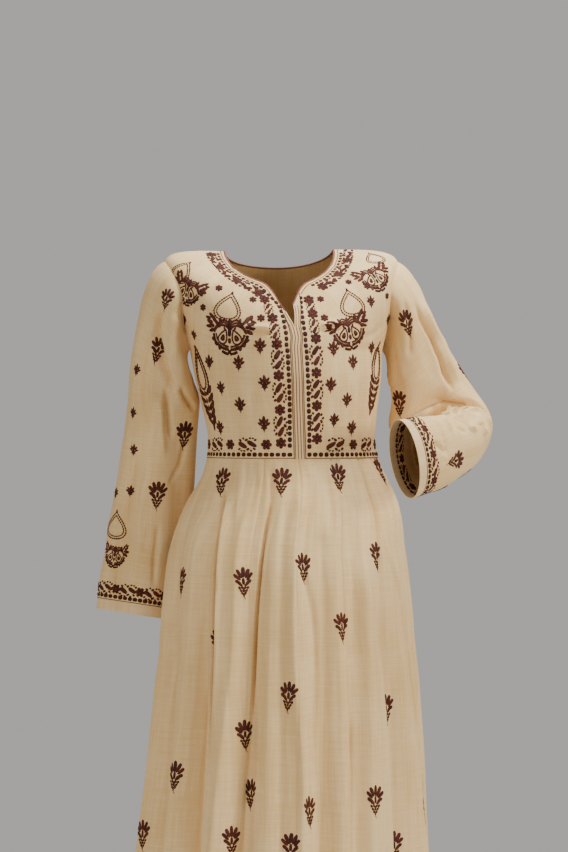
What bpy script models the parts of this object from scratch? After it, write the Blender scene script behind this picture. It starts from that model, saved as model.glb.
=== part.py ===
"""Anarkali gown in its hollow worn form, cut as a maker cuts it.

Frame: metres, +Z up, the front of the gown faces -Y, the wearer's left is +X.
The origin is midway between the shoulders, at the height of the neck points.
"""

import math
from collections import namedtuple

import bpy
import numpy as np

# Driving dimensions of cloth and seams
CLOTH = 0.0014
BINDING_CLOTH = 0.0020
SEAM_GAP = 0.0003
STEP = 1e-4

# Driving dimensions of the bodice
ARMPIT_DROP = 0.165
WAIST_DROP = 0.346
HEM_DROP = 1.320
NECK_HALF_WIDTH = 0.094
NECK_SHIFT = -0.004
NECK_FRONT_REACH = 0.082
NECK_BACK_REACH = 0.058
NECK_FRONT_DROP = 0.062
NECK_BACK_DROP = 0.024
SHOULDER_HALF_WIDTH = 0.219
SHOULDER_LIFT = 0.003
LEFT_SHOULDER_RAISE = 0.005
SHOULDER_WEIGHT = 3.0
CHEST_REACH = 0.128
CHEST_DROP = 0.105
BLADE_REACH = 0.112
BLADE_DROP = 0.085
ARMHOLE_TOP = 0.50
ARMHOLE_ROUNDNESS = 1.3
ARMHOLE_EASE = 0.14
ARMHOLE_FRONT_DIP = math.radians(25.0)
ARMHOLE_BACK_DIP = math.radians(21.0)

# Driving dimensions of the front slit and its strips
STRIP_WIDTH = 0.0085
SLIT_START = 0.42
SLIT_OPENING = {-1: 0.0045, 1: 0.0075}
STRIP_SPLAY = {-1: 0.6, 1: 1.35}
CORNER_DROP = 0.046
CORNER_SPREAD = math.radians(12.5)
CORNER_REACH = 0.7
CHEST_FOLLOW = 0.5
CENTRE_TURN = math.radians(1.7)
CENTRE_DRIFT = math.radians(-2.5)

# Driving dimensions of the skirt, binding and cuffs
KALI_COUNT = 16
KALI_OFFSET = math.radians(-2.2)
BINDING_WIDTH = 0.0038
CUFF_BAND = 0.017
BODY_CLEARANCE = 0.006
BEND_SHARE = 0.85
BEND_REACH = 0.24
BEND_FACING = (0.3, 0.7)
BEND_FREE = 2.0
LEAST_LEAN = 1e-6

# Cells of each panel, across and along
FRONT_COLUMNS = 8
BACK_COLUMNS = 14
STRIP_COLUMNS = 2
TRUNK_ROWS = 4
ARMHOLE_ROWS = 10
SHOULDER_ROWS = 3
KALI_COLUMNS = 8
KALI_ROWS = 8
CAP_ROWS = 6
ARM_ROWS = 12
CUFF_ROWS = 1

# Colours of the finishes
CREAM = (0.86, 0.79, 0.68, 1.0)
WARM_CREAM = (0.82, 0.74, 0.62, 1.0)
BROWN = (0.25, 0.08, 0.05, 1.0)
ROUGHNESS = 0.85

# Level rings of the trunk and skirt: drop below the shoulders, side shift of the middle,
# half width, and reach to the front and to the back
Ring = namedtuple("Ring", "drop shift half_width front back")
RINGS = (
    Ring(0.165, 0.0080, 0.1620, 0.130, 0.112),
    Ring(0.215, 0.0115, 0.1560, 0.131, 0.108),
    Ring(0.260, 0.0140, 0.1480, 0.124, 0.100),
    Ring(0.311, 0.0175, 0.1410, 0.114, 0.094),
    Ring(0.346, 0.0190, 0.1445, 0.112, 0.096),
    Ring(0.380, 0.0215, 0.1570, 0.122, 0.106),
    Ring(0.417, 0.0200, 0.1740, 0.138, 0.121),
    Ring(0.501, 0.0110, 0.1940, 0.161, 0.145),
    Ring(0.585, 0.0105, 0.2040, 0.171, 0.157),
    Ring(0.669, 0.0110, 0.2090, 0.178, 0.165),
    Ring(0.753, 0.0110, 0.2170, 0.186, 0.174),
    Ring(0.853, 0.0095, 0.2250, 0.195, 0.183),
    Ring(1.008, 0.0050, 0.2380, 0.209, 0.198),
    Ring(1.320, 0.0030, 0.2700, 0.242, 0.233),
)

# Hanging folds of the skirt: angle from centre front at the waist and at the hem in degrees,
# the share of the skirt's length where it starts, its width and its height at the hem,
# a height below zero being a valley
Fold = namedtuple("Fold", "waist hem start width height")
FOLDS = (
    Fold(-3.0, 3.0, 0.10, 0.020, 0.020),
    Fold(9.0, 7.0, 0.12, 0.017, -0.024),
    Fold(14.0, 19.0, 0.15, 0.022, 0.020),
    Fold(22.0, 24.0, 0.20, 0.015, -0.018),
    Fold(33.0, 29.0, 0.05, 0.020, 0.016),
    Fold(36.0, 41.0, 0.12, 0.018, 0.016),
    Fold(43.0, 47.0, 0.15, 0.018, -0.024),
    Fold(44.0, 74.0, 0.06, 0.024, 0.020),
    Fold(72.0, 92.0, 0.10, 0.020, -0.018),
    Fold(88.0, 104.0, 0.05, 0.026, 0.022),
    Fold(112.0, 118.0, 0.15, 0.020, -0.026),
    Fold(128.0, 131.0, 0.05, 0.026, 0.024),
    Fold(142.0, 146.0, 0.10, 0.018, -0.026),
    Fold(155.0, 160.0, 0.08, 0.024, 0.020),
    Fold(171.0, 173.0, 0.15, 0.020, -0.028),
    Fold(186.0, 187.0, 0.05, 0.026, 0.024),
    Fold(203.0, 200.0, 0.12, 0.018, -0.024),
    Fold(214.0, 215.0, 0.06, 0.024, 0.022),
    Fold(229.0, 230.0, 0.15, 0.020, -0.026),
    Fold(243.0, 245.0, 0.05, 0.026, 0.022),
    Fold(257.0, 262.0, 0.10, 0.018, -0.022),
    Fold(-86.0, -82.0, 0.04, 0.022, 0.020),
    Fold(-77.0, -63.0, 0.05, 0.018, -0.026),
    Fold(-62.0, -54.0, 0.10, 0.020, 0.020),
    Fold(-50.0, -44.0, 0.02, 0.016, -0.024),
    Fold(-36.0, -34.0, 0.08, 0.026, 0.018),
    Fold(-21.0, -25.0, 0.04, 0.016, -0.026),
    Fold(-14.0, -12.0, 0.15, 0.022, 0.014),
)

# Rings of each sleeve below its cap: middle of the ring, half width and half depth
Band = namedtuple("Band", "x y z half_width half_depth")
RIGHT_ARM = (
    Band(-0.1950, 0.042, -0.250, 0.061, 0.050),
    Band(-0.2010, 0.054, -0.323, 0.063, 0.048),
    Band(-0.2080, 0.066, -0.391, 0.067, 0.046),
    Band(-0.2180, 0.076, -0.473, 0.070, 0.045),
    Band(-0.2350, 0.074, -0.558, 0.067, 0.044),
    Band(-0.2440, 0.070, -0.612, 0.065, 0.043),
)
LEFT_ARM = (
    Band(0.2370, 0.004, -0.198, 0.060, 0.047),
    Band(0.2710, 0.008, -0.250, 0.061, 0.048),
    Band(0.2980, -0.008, -0.294, 0.060, 0.047),
    Band(0.2800, -0.062, -0.320, 0.053, 0.052),
    Band(0.2360, -0.124, -0.334, 0.040, 0.060),
    Band(0.1740, -0.190, -0.345, 0.027, 0.064),
)

# Directions in which each sleeve leaves its armhole and arrives at its first ring
Cap = namedtuple("Cap", "rise_out rise_down under_out under_down leave arrive_top arrive_under")
RIGHT_CAP = Cap(0.130, -0.040, 0.045, -0.060, 0.10, 0.230, 0.080)
LEFT_CAP = Cap(0.120, -0.050, 0.050, -0.040, 0.08, 0.180, 0.060)

# Folds of each sleeve: angle round the ring from the outer side through the front in degrees,
# how fast the angle turns along the sleeve, where the fold peaks (0 armhole, 1 first ring,
# 2 cuff), its length, its width in degrees and its height
Crease = namedtuple("Crease", "angle turn peak length width height")
RIGHT_CREASES = (
    Crease(75.0, 40.0, 0.75, 0.35, 26.0, -0.010),
    Crease(50.0, 10.0, 1.00, 0.40, 24.0, 0.007),
    Crease(120.0, 30.0, 1.20, 0.30, 24.0, -0.008),
    Crease(95.0, 10.0, 1.55, 0.45, 26.0, 0.008),
    Crease(60.0, -15.0, 1.70, 0.50, 24.0, -0.007),
    Crease(250.0, 20.0, 1.10, 0.40, 28.0, -0.009),
    Crease(290.0, -10.0, 1.60, 0.50, 26.0, -0.008),
)
LEFT_CREASES = (
    Crease(70.0, 30.0, 0.85, 0.35, 26.0, -0.008),
    Crease(110.0, 20.0, 1.30, 0.22, 26.0, -0.012),
    Crease(80.0, 60.0, 1.42, 0.16, 24.0, 0.008),
    Crease(60.0, 40.0, 1.55, 0.20, 22.0, -0.007),
    Crease(200.0, 10.0, 1.15, 0.25, 26.0, -0.008),
    Crease(250.0, 20.0, 1.00, 0.40, 28.0, -0.008),
    Crease(180.0, 0.0, 1.17, 0.11, 45.0, 0.040),
)


def unit(vectors):
    """Vectors scaled to length one."""
    return vectors / np.maximum(np.linalg.norm(vectors, axis=-1, keepdims=True), 1e-12)


def smoothstep(low, high, value):
    """Soft rise from 0 at low to 1 at high."""
    share = np.clip((value - low) / (high - low), 0.0, 1.0)
    return share * share * (3.0 - 2.0 * share)


def hermite(share):
    """Weights of start point, start slope, end point and end slope of a cubic."""
    square = share * share
    cube = square * share
    return 2 * cube - 3 * square + 1, cube - 2 * square + share, 3 * square - 2 * cube, cube - square


def along(keys, values, spot):
    """Smooth cubic through the values at the keys, read at each spot."""
    slopes = np.gradient(values, keys)
    spot = np.clip(spot, keys[0], keys[-1])
    left = np.clip(np.searchsorted(keys, spot, side="right") - 1, 0, len(keys) - 2)
    span = keys[left + 1] - keys[left]
    start, start_slope, end, end_slope = hermite((spot - keys[left]) / span)
    return (
        start * values[left]
        + start_slope * span * slopes[left]
        + end * values[left + 1]
        + end_slope * span * slopes[left + 1]
    )


def ring_value(column, drop):
    """One column of the ring table, read at any drop."""
    keys = np.array([row.drop for row in RINGS])
    values = np.array([getattr(row, column) for row in RINGS])
    return along(keys, values, drop)


def trunk(theta, drop):
    """Plain ring of the trunk or skirt at a drop, theta measured from centre front."""
    reach = np.where(np.cos(theta) > 0, ring_value("front", drop), ring_value("back", drop))
    x = ring_value("shift", drop) + ring_value("half_width", drop) * np.sin(theta)
    y = -reach * np.cos(theta)
    return np.stack(np.broadcast_arrays(x, y, -drop), axis=-1)


def raised_shoulder(theta):
    """Height that the bent arm adds to the wearer's left shoulder."""
    return LEFT_SHOULDER_RAISE * np.clip(np.sin(theta), 0.0, 1.0) ** 2


def corner_droop(theta):
    """Height by which the neck edge hangs lower beside the slit."""
    turned = np.arctan2(np.sin(theta), np.cos(theta))
    return CORNER_DROP * np.exp(-((turned / CORNER_SPREAD) ** 2))


def neckline(theta):
    """Neck edge: an ellipse that dips in front and hangs lower towards the slit."""
    front = np.cos(theta) > 0
    reach = np.where(front, NECK_FRONT_REACH, NECK_BACK_REACH)
    fall = np.where(front, NECK_FRONT_DROP, NECK_BACK_DROP)
    corner = corner_droop(theta)
    x = NECK_SHIFT + NECK_HALF_WIDTH * np.sin(theta)
    y = -reach * np.cos(theta) - CORNER_REACH * corner
    z = -fall * np.abs(np.cos(theta)) - corner + raised_shoulder(theta)
    return np.stack([x, y, z], axis=-1)


def shoulder_control(theta):
    """Ring of control points that pulls the cloth out over chest, blades and shoulders."""
    front = np.cos(theta) > 0
    reach = np.where(front, CHEST_REACH, BLADE_REACH)
    fall = np.where(front, CHEST_DROP, BLADE_DROP)
    x = SHOULDER_HALF_WIDTH * np.sin(theta)
    y = -reach * np.cos(theta)
    z = SHOULDER_LIFT - (fall + SHOULDER_LIFT) * np.cos(theta) ** 2 + raised_shoulder(theta)
    z = z - CHEST_FOLLOW * corner_droop(theta)
    return np.stack([x, y, z], axis=-1)


def yoke(theta, rise):
    """Weighted quadratic from the armpit ring (rise 0) over the control ring to the neck (1)."""
    weight = 1.0 + (SHOULDER_WEIGHT - 1.0) * np.sin(theta) ** 4
    low = ((1 - rise) ** 2)[..., None]
    middle = (2 * weight * rise * (1 - rise))[..., None]
    high = (rise ** 2)[..., None]
    armpit = trunk(theta, np.full_like(theta, ARMPIT_DROP))
    total = low * armpit + middle * shoulder_control(theta) + high * neckline(theta)
    return total / (low + middle + high)


def bodice(theta, level):
    """Bodice cloth: level below 0 is metres under the armpit, 0 to 1 is the yoke."""
    theta, level = np.broadcast_arrays(np.asarray(theta, float), np.asarray(level, float))
    below = trunk(theta, ARMPIT_DROP - np.minimum(level, 0.0))
    above = yoke(theta, np.clip(level, 0.0, 1.0))
    return np.where((level < 0)[..., None], below, above)


def skirt(theta, drop):
    """Skirt cloth: the plain ring pushed out or in along each fold."""
    theta, drop = np.broadcast_arrays(np.asarray(theta, float), np.asarray(drop, float))
    base = trunk(theta, drop)
    middle = np.stack([ring_value("shift", drop), np.zeros_like(drop), -drop], axis=-1)
    radius = np.linalg.norm(base - middle, axis=-1)
    share = (drop - WAIST_DROP) / (HEM_DROP - WAIST_DROP)
    push = np.zeros_like(theta)
    for fold in FOLDS:
        line = np.radians(fold.waist + (fold.hem - fold.waist) * share)
        away = np.arctan2(np.sin(theta - line), np.cos(theta - line)) * radius
        growth = np.clip((share - fold.start) / (1 - fold.start), 0.0, 1.0) ** 0.65
        push += fold.height * growth * np.exp(-((away / fold.width) ** 2))
    return middle + (base - middle) * (1 + push / radius)[..., None]


def surface_normals(surface, across, along_rows):
    """Outward normals of a surface, from its slopes across and along."""
    slope_across = surface(across + STEP, along_rows) - surface(across - STEP, along_rows)
    slope_along = surface(across, along_rows + STEP) - surface(across, along_rows - STEP)
    return unit(np.cross(slope_across, slope_along))


def bodice_normals(theta, level):
    """Outward normals of the bodice, level with the waist seam at its lowest row."""
    inside = np.clip(level, ARMPIT_DROP - WAIST_DROP + STEP, 1.0 - STEP)
    normals = surface_normals(bodice, theta, inside)
    flat = level < ARMPIT_DROP - WAIST_DROP + STEP
    normals[..., 2] = np.where(flat, 0.0, normals[..., 2])
    return unit(normals)


def skirt_normals(theta, drop):
    """Outward normals of the skirt, level with the waist seam at its highest row."""
    normals = -surface_normals(skirt, theta, drop)
    normals[..., 2] = np.where(drop < WAIST_DROP + STEP, 0.0, normals[..., 2])
    return unit(normals)


def inset_loop(points, normals):
    """A closed run of edge points, moved into its piece by half a seam gap."""
    before = unit(points - np.roll(points, 1, axis=0))
    after = unit(np.roll(points, -1, axis=0) - points)
    side_before = unit(np.cross(normals, before))
    side_after = unit(np.cross(normals, after))
    facing = np.sum(side_before * side_after, axis=-1, keepdims=True)
    return points + (side_before + side_after) / np.maximum(1 + facing, 0.5) * SEAM_GAP / 2


def edge_run(rows, columns):
    """Row and column numbers round the edge of an open grid, in order."""
    bottom = [(0, j) for j in range(columns - 1)]
    right = [(i, columns - 1) for i in range(rows - 1)]
    top = [(rows - 1, j) for j in range(columns - 1, 0, -1)]
    left = [(i, 0) for i in range(rows - 1, 0, -1)]
    run = np.array(bottom + right + top + left)
    return run[:, 0], run[:, 1]


def fit_open_panel(points, normals):
    """An open panel's grid with its edges drawn in for the seams."""
    run = edge_run(*points.shape[:2])
    fitted = points.copy()
    fitted[run] = inset_loop(points[run], normals[run])
    return fitted


def fit_tube(points, normals):
    """A tube's grid with its two end rings drawn in for the seams."""
    fitted = points.copy()
    fitted[0] = inset_loop(points[0], normals[0])
    fitted[-1] = inset_loop(points[-1][::-1], normals[-1][::-1])[::-1]
    return fitted


def cut_face(first, last, count):
    """Face of a cut edge, started so that both sides of a seam split along the same diagonal."""
    if first < last:
        return first, last, count + last, count + first
    return last, count + last, count + first, first


def wall_faces(rows, columns, tube):
    """Faces of a cloth wall: outer sheet, inner sheet, and the cut edges that join them."""
    count = rows * columns
    across = columns if tube else columns - 1
    faces = []
    for i in range(rows - 1):
        for j in range(across):
            k = (j + 1) % columns
            quad = (i * columns + j, i * columns + k, (i + 1) * columns + k, (i + 1) * columns + j)
            faces.append(quad)
            faces.append(tuple(count + quad[corner] for corner in (0, 3, 2, 1)))
    for i, here, there in ((0, 1, 0), (rows - 1, 0, 1)):
        for j in range(across):
            first = i * columns + (j + here) % columns
            last = i * columns + (j + there) % columns
            faces.append(cut_face(first, last, count))
    if not tube:
        for j, here, there in ((0, 0, 1), (columns - 1, 1, 0)):
            for i in range(rows - 1):
                first = (i + here) * columns + j
                last = (i + there) * columns + j
                faces.append(cut_face(first, last, count))
    return faces


def enclosed_volume(points, faces):
    """Signed volume inside quad faces, above zero when they point outwards."""
    corners = points[np.array(faces)]
    first = np.einsum("ij,ij->i", corners[:, 0], np.cross(corners[:, 1], corners[:, 2]))
    second = np.einsum("ij,ij->i", corners[:, 0], np.cross(corners[:, 2], corners[:, 3]))
    return (first + second).sum() / 6.0


def cloth_material(name, colour):
    """Matt cloth in one colour."""
    material = bpy.data.materials.new(name)
    material.use_nodes = True
    shader = material.node_tree.nodes["Principled BSDF"]
    shader.inputs["Base Color"].default_value = colour
    shader.inputs["Roughness"].default_value = ROUGHNESS
    shader.inputs["Metallic"].default_value = 0.0
    return material


def cloth_wall(name, outer, normals, colour, tube=False, cloth=CLOTH):
    """Named solid lofted between an outer sheet and the same sheet moved in by the cloth."""
    inner = outer - normals * cloth
    points = np.concatenate([outer.reshape(-1, 3), inner.reshape(-1, 3)])
    faces = wall_faces(outer.shape[0], outer.shape[1], tube)
    mesh = bpy.data.meshes.new(name)
    mesh.from_pydata(points.tolist(), [], faces)
    if enclosed_volume(points, faces) < 0:
        mesh.flip_normals()
    mesh.update()
    mesh.shade_smooth()
    mesh.set_sharp_from_angle(angle=math.radians(50.0))
    mesh.materials.append(cloth_material(name, colour))
    piece = bpy.data.objects.new(name, mesh)
    piece.parent = bpy.data.objects["shoulders"]
    bpy.data.collections["anarkali_gown"].objects.link(piece)
    return piece


def armhole_turns():
    """Angles of the armhole points round its edge, spaced wider at the tip and the armpit."""
    even = np.linspace(0.0, 2 * math.pi, 2 * ARMHOLE_ROWS, endpoint=False)
    return even + ARMHOLE_EASE * np.sin(2 * even)


def bodice_levels():
    """Levels of the bodice rows, from the waist seam over the armpit to the neck."""
    lower = np.linspace(ARMPIT_DROP - WAIST_DROP, 0.0, TRUNK_ROWS + 1)
    armhole = ARMHOLE_TOP * (1 - np.cos(armhole_turns()[1 : ARMHOLE_ROWS + 1])) / 2
    shoulder = np.linspace(ARMHOLE_TOP, 1.0, SHOULDER_ROWS + 1)[1:]
    return np.concatenate([lower, armhole, shoulder])


def armhole_dip(level, dip):
    """Angle by which the armhole cuts into a panel at a level."""
    spot = np.clip(2 * level / ARMHOLE_TOP - 1, -1.0, 1.0)
    return np.where(level > 0, dip * (1 - spot * spot) ** (ARMHOLE_ROUNDNESS / 2), 0.0)


def centre_line(level):
    """Angle of centre front, a little to the wearer's left and drifting back towards the waist."""
    return CENTRE_TURN + CENTRE_DRIFT * smoothstep(0.3, ARMPIT_DROP - WAIST_DROP, level)


def strip_edges(level, side):
    """Angles of a slit strip's inner and outer edges, worked out from widths in metres."""
    centre = centre_line(level)
    metres_per_radian = (bodice(centre + 0.01, level) - bodice(centre - 0.01, level))[..., 0] / 0.02
    opening = SLIT_OPENING[side] * smoothstep(SLIT_START, 1.0, level)
    inner = centre + side * opening / metres_per_radian
    outer = centre + side * (STRIP_WIDTH + STRIP_SPLAY[side] * opening) / metres_per_radian
    return inner, outer


def spread(start, end, columns):
    """Angles in even columns between a start and an end angle for each row."""
    share = np.linspace(0.0, 1.0, columns + 1)
    return start[:, None] + (end - start)[:, None] * share


def armhole_ring(side):
    """Armhole edge and its bodice normals, from the shoulder tip down the front and round."""
    turn = armhole_turns()
    level = ARMHOLE_TOP * (1 + np.cos(turn)) / 2
    dip = np.where(np.sin(turn) > 0, ARMHOLE_FRONT_DIP, -ARMHOLE_BACK_DIP)
    theta = side * (math.pi / 2 - dip * np.abs(np.sin(turn)) ** ARMHOLE_ROUNDNESS)
    safe = np.clip(level, STEP, None)
    return bodice(theta, level), bodice_normals(theta, safe)


def arm_line(table, rows):
    """Middle, half width and half depth of the sleeve rings, smooth along the arm."""
    middles = np.array([(row.x, row.y, row.z) for row in table])
    sizes = np.array([(row.half_width, row.half_depth) for row in table])
    gaps = np.linalg.norm(np.diff(middles, axis=0), axis=1)
    run = np.concatenate([[0.0], np.cumsum(gaps)])
    band_start = run[-1] - CUFF_BAND
    band_spots = np.linspace(band_start, run[-1], CUFF_ROWS + 1)
    spots = np.concatenate([np.linspace(0.0, band_start, rows + 1), band_spots[1:]])
    line = np.stack([along(run, middles[:, axis], spots) for axis in range(3)], axis=-1)
    size = np.stack([along(run, sizes[:, axis], spots) for axis in range(2)], axis=-1)
    return line, size, spots / run[-1]


def carried_frames(line, side):
    """Outward and forward directions of each ring, carried along the arm without twist."""
    heading = unit(np.gradient(line, axis=0))
    outward = np.array([side, 0.0, 0.0])
    frames = []
    for direction in heading:
        outward = unit(outward - direction * np.dot(outward, direction))
        frames.append((outward, side * np.cross(direction, outward)))
    outs, fronts = (np.array(part) for part in zip(*frames))
    return heading, outs, fronts


def ease_inside_bend(offsets, line, heading, run):
    """Ring points facing into the bend, drawn in short of the planes of the rings near them."""
    apart = np.einsum("ijk,jk->ij", line[None] - line[:, None], heading)
    lean = np.einsum("ipk,jk->ipj", offsets, heading)
    lean = np.where(np.abs(lean) < LEAST_LEAN, LEAST_LEAN, lean)
    meeting = apart[:, None, :] / lean
    away = np.abs(run[None] - run[:, None])
    near = (away > 0) & (away <= BEND_REACH)
    limit = BEND_SHARE * np.where((meeting > 0) & near[:, None, :], meeting, np.inf).min(axis=2)
    limit = np.minimum(limit, BEND_FREE)
    eased = np.minimum(limit / 2 * (1 + np.tanh(2 / limit - 1)), 1.0)
    inward = unit(np.gradient(heading, axis=0))
    inside = smoothstep(*BEND_FACING, np.einsum("ipk,ik->ip", unit(offsets), inward))
    return offsets * (1 - inside * (1 - eased))[..., None]


def crease_push(creases, angle, station):
    """Push in or out of every crease at an angle round the sleeve and a station along it."""
    push = np.zeros(np.broadcast(angle, station).shape)
    for crease in creases:
        middle = np.radians(crease.angle + crease.turn * (station - crease.peak))
        away = np.arctan2(np.sin(angle - middle), np.cos(angle - middle)) / math.radians(crease.width)
        off = (station - crease.peak) / crease.length
        push = push + crease.height * np.exp(-(away ** 2) - off ** 2)
    return push


def clear_of_body(points):
    """Sleeve points kept a clearance outside the trunk and the skirt."""
    drop = np.clip(-points[..., 2], ARMPIT_DROP, HEM_DROP)
    middle = np.stack([ring_value("shift", drop), np.zeros_like(drop), points[..., 2]], axis=-1)
    away = points - middle
    reach = np.where(away[..., 1] < 0, ring_value("front", drop), ring_value("back", drop))
    theta = np.arctan2(away[..., 0] / ring_value("half_width", drop), -away[..., 1] / reach)
    cloth = np.where((drop > WAIST_DROP)[..., None], skirt(theta, drop), trunk(theta, drop))
    limit = np.linalg.norm((cloth - middle)[..., :2], axis=-1) + BODY_CLEARANCE
    radius = np.linalg.norm(away[..., :2], axis=-1)
    below = smoothstep(ARMPIT_DROP + 0.005, ARMPIT_DROP + 0.05, -points[..., 2])
    kept = np.maximum(radius, limit * below)
    return middle + away * (kept / radius)[..., None]


def sleeve_grid(side, table, cap, creases):
    """Sleeve from the armhole ring over its cap and down the arm to the cuff's end."""
    armhole, armhole_normals = armhole_ring(side)
    turn = armhole_turns()
    line, size, run = arm_line(table, ARM_ROWS)
    heading, outs, fronts = carried_frames(line, side)
    wide = size[:, :1, None] * np.cos(turn)[None, :, None] * outs[:, None, :]
    deep = size[:, 1:, None] * np.sin(turn)[None, :, None] * fronts[:, None, :]
    rings = line[:, None, :] + ease_inside_bend(wide + deep, line, heading, run)
    top = (1 + np.cos(turn)) / 2
    leave = np.stack(
        [
            side * (cap.under_out + (cap.rise_out - cap.under_out) * top),
            -cap.leave * np.sin(turn) * 0.5,
            cap.under_down + (cap.rise_down - cap.under_down) * top,
        ],
        axis=-1,
    )
    arrive = heading[0] * (cap.arrive_under + (cap.arrive_top - cap.arrive_under) * top)[:, None]
    share = np.linspace(0.0, 1.0, CAP_ROWS + 1)[:-1, None, None]
    start, start_slope, end, end_slope = hermite(share)
    cap_rings = start * armhole + start_slope * leave + end * rings[0] + end_slope * arrive
    grid = np.concatenate([cap_rings, rings])
    station = np.concatenate([np.linspace(0.0, 1.0, CAP_ROWS + 1)[:-1], 1.0 + run])
    middles = grid.mean(axis=1, keepdims=True)
    push = crease_push(creases, turn[None, :], station[:, None])
    push = push * smoothstep(0.0, 0.35, station)[:, None]
    grid = grid + unit(grid - middles) * push[..., None]
    grid[1:] = clear_of_body(grid[1:])
    normals = tube_normals(grid) * side
    together = unit(normals[0] + armhole_normals)
    grow = 1 / np.maximum(np.sum(together * armhole_normals, axis=-1, keepdims=True), 0.75)
    normals[0] = together * grow
    return grid, normals


def tube_normals(grid):
    """Normals of a tube's grid from its neighbours round and along."""
    around = np.roll(grid, -1, axis=1) - np.roll(grid, 1, axis=1)
    down = np.gradient(grid, axis=0)
    return unit(np.cross(around, down))


def armhole_edge(normals_ring, front):
    """Seam normals of the armhole, in the order of a panel's rows from armpit to tip."""
    if front:
        return normals_ring[ARMHOLE_ROWS::-1]
    return np.concatenate([normals_ring[ARMHOLE_ROWS:], normals_ring[:1]])


def bodice_panel(name, start, end, columns, seams, colour=CREAM):
    """Bodice panel between a start and an end angle for each row."""
    levels = bodice_levels()
    theta = spread(start, end, columns)
    level = np.broadcast_to(levels[:, None], theta.shape)
    points = bodice(theta, level)
    normals = bodice_normals(theta, level)
    rows = slice(TRUNK_ROWS, TRUNK_ROWS + ARMHOLE_ROWS + 1)
    for column, seam in seams:
        normals[rows, column] = seam
    cloth_wall(name, fit_open_panel(points, unit(normals)), normals, colour)
    return theta[-1]


def build_bodice(seam_normals):
    """Two fronts, a back and two slit strips, and the angles of the neck edge they share."""
    levels = bodice_levels()
    right_in, right_out = strip_edges(levels, -1)
    left_in, left_out = strip_edges(levels, 1)
    front_dip = armhole_dip(levels, ARMHOLE_FRONT_DIP)
    back_dip = armhole_dip(levels, ARMHOLE_BACK_DIP)
    quarter = np.full_like(levels, math.pi / 2)
    full = np.full_like(levels, 2 * math.pi)
    left_seam = [(-1, armhole_edge(seam_normals[1], True))]
    right_seam = [(0, armhole_edge(seam_normals[-1], True))]
    back_seams = [
        (0, armhole_edge(seam_normals[1], False)),
        (-1, armhole_edge(seam_normals[-1], False)),
    ]
    front_end = quarter - front_dip
    back_start = quarter + back_dip
    neck = [
        bodice_panel("placket_left", left_in, left_out, STRIP_COLUMNS, []),
        bodice_panel("bodice_front_left", left_out, front_end, FRONT_COLUMNS, left_seam),
        bodice_panel("bodice_back", back_start, full - back_start, BACK_COLUMNS, back_seams),
        bodice_panel("bodice_front_right", full - front_end, full + right_out, FRONT_COLUMNS, right_seam),
        bodice_panel("placket_right", full + right_out, full + right_in, STRIP_COLUMNS, []),
    ]
    return np.concatenate([neck[0]] + [run[1:] for run in neck[1:]])


def build_neck_binding(theta):
    """Narrow binding that carries the neck edge on past the panels' last row."""
    level = np.ones_like(theta)
    edge = bodice(theta, level)
    upward = unit(edge - bodice(theta, level - STEP))
    normals = bodice_normals(theta, level)
    points = np.stack([edge, edge + upward * BINDING_WIDTH])
    normals = np.stack([normals, normals])
    cloth_wall("neck_binding", fit_open_panel(points, normals), normals, BROWN, cloth=BINDING_CLOTH)


def build_skirt():
    """Tapered kalis round the waist, each its own panel with the folds running over it."""
    drops = WAIST_DROP + (HEM_DROP - WAIST_DROP) * np.linspace(0.0, 1.0, KALI_ROWS + 1) ** 1.15
    width = 2 * math.pi / KALI_COUNT
    for number in range(KALI_COUNT):
        start = KALI_OFFSET + number * width
        angles = np.linspace(start, start + width, KALI_COLUMNS + 1)
        theta, drop = np.meshgrid(angles, drops)
        points = skirt(theta, drop)[::-1]
        normals = skirt_normals(theta, drop)[::-1]
        cloth_wall(f"skirt_kali_{number + 1:02d}", fit_open_panel(points, normals), normals, CREAM)


def build_sleeve(side, word, table, cap, creases):
    """One sleeve with its cuff band, and the seam normals of its armhole."""
    grid, normals = sleeve_grid(side, table, cap, creases)
    cut = CAP_ROWS + ARM_ROWS
    for name, part, colour in (
        (f"sleeve_{word}", slice(0, cut + 1), CREAM),
        (f"cuff_band_{word}", slice(cut, None), WARM_CREAM),
    ):
        points = grid[part][:, ::side]
        facing = normals[part][:, ::side]
        cloth_wall(name, fit_tube(points, unit(facing)), facing, colour, tube=True)
    return normals[0]


def clear_scene():
    """Remove every object, so that the gown stands alone."""
    for item in list(bpy.data.objects):
        bpy.data.objects.remove(item, do_unlink=True)


def main():
    """Build the gown in its own collection."""
    clear_scene()
    collection = bpy.data.collections.new("anarkali_gown")
    bpy.context.scene.collection.children.link(collection)
    collection.objects.link(bpy.data.objects.new("shoulders", None))
    seam_normals = {
        -1: build_sleeve(-1, "right", RIGHT_ARM, RIGHT_CAP, RIGHT_CREASES),
        1: build_sleeve(1, "left", LEFT_ARM, LEFT_CAP, LEFT_CREASES),
    }
    neck_angles = build_bodice(seam_normals)
    build_neck_binding(neck_angles)
    build_skirt()


main()
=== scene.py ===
"""Dressed anarkali gown: cream cotton with maroon hand embroidery, in its hollow worn form.

Frame: metres, +Z up, the front faces -Y, the gown's left is +X. The origin is midway between
the shoulders, at the height of the neck points. Places on the front are given in pixels of a
568 by 852 picture taken by the scene's own camera.
"""

import logging
import math
from dataclasses import dataclass, field
from enum import Enum

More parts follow.
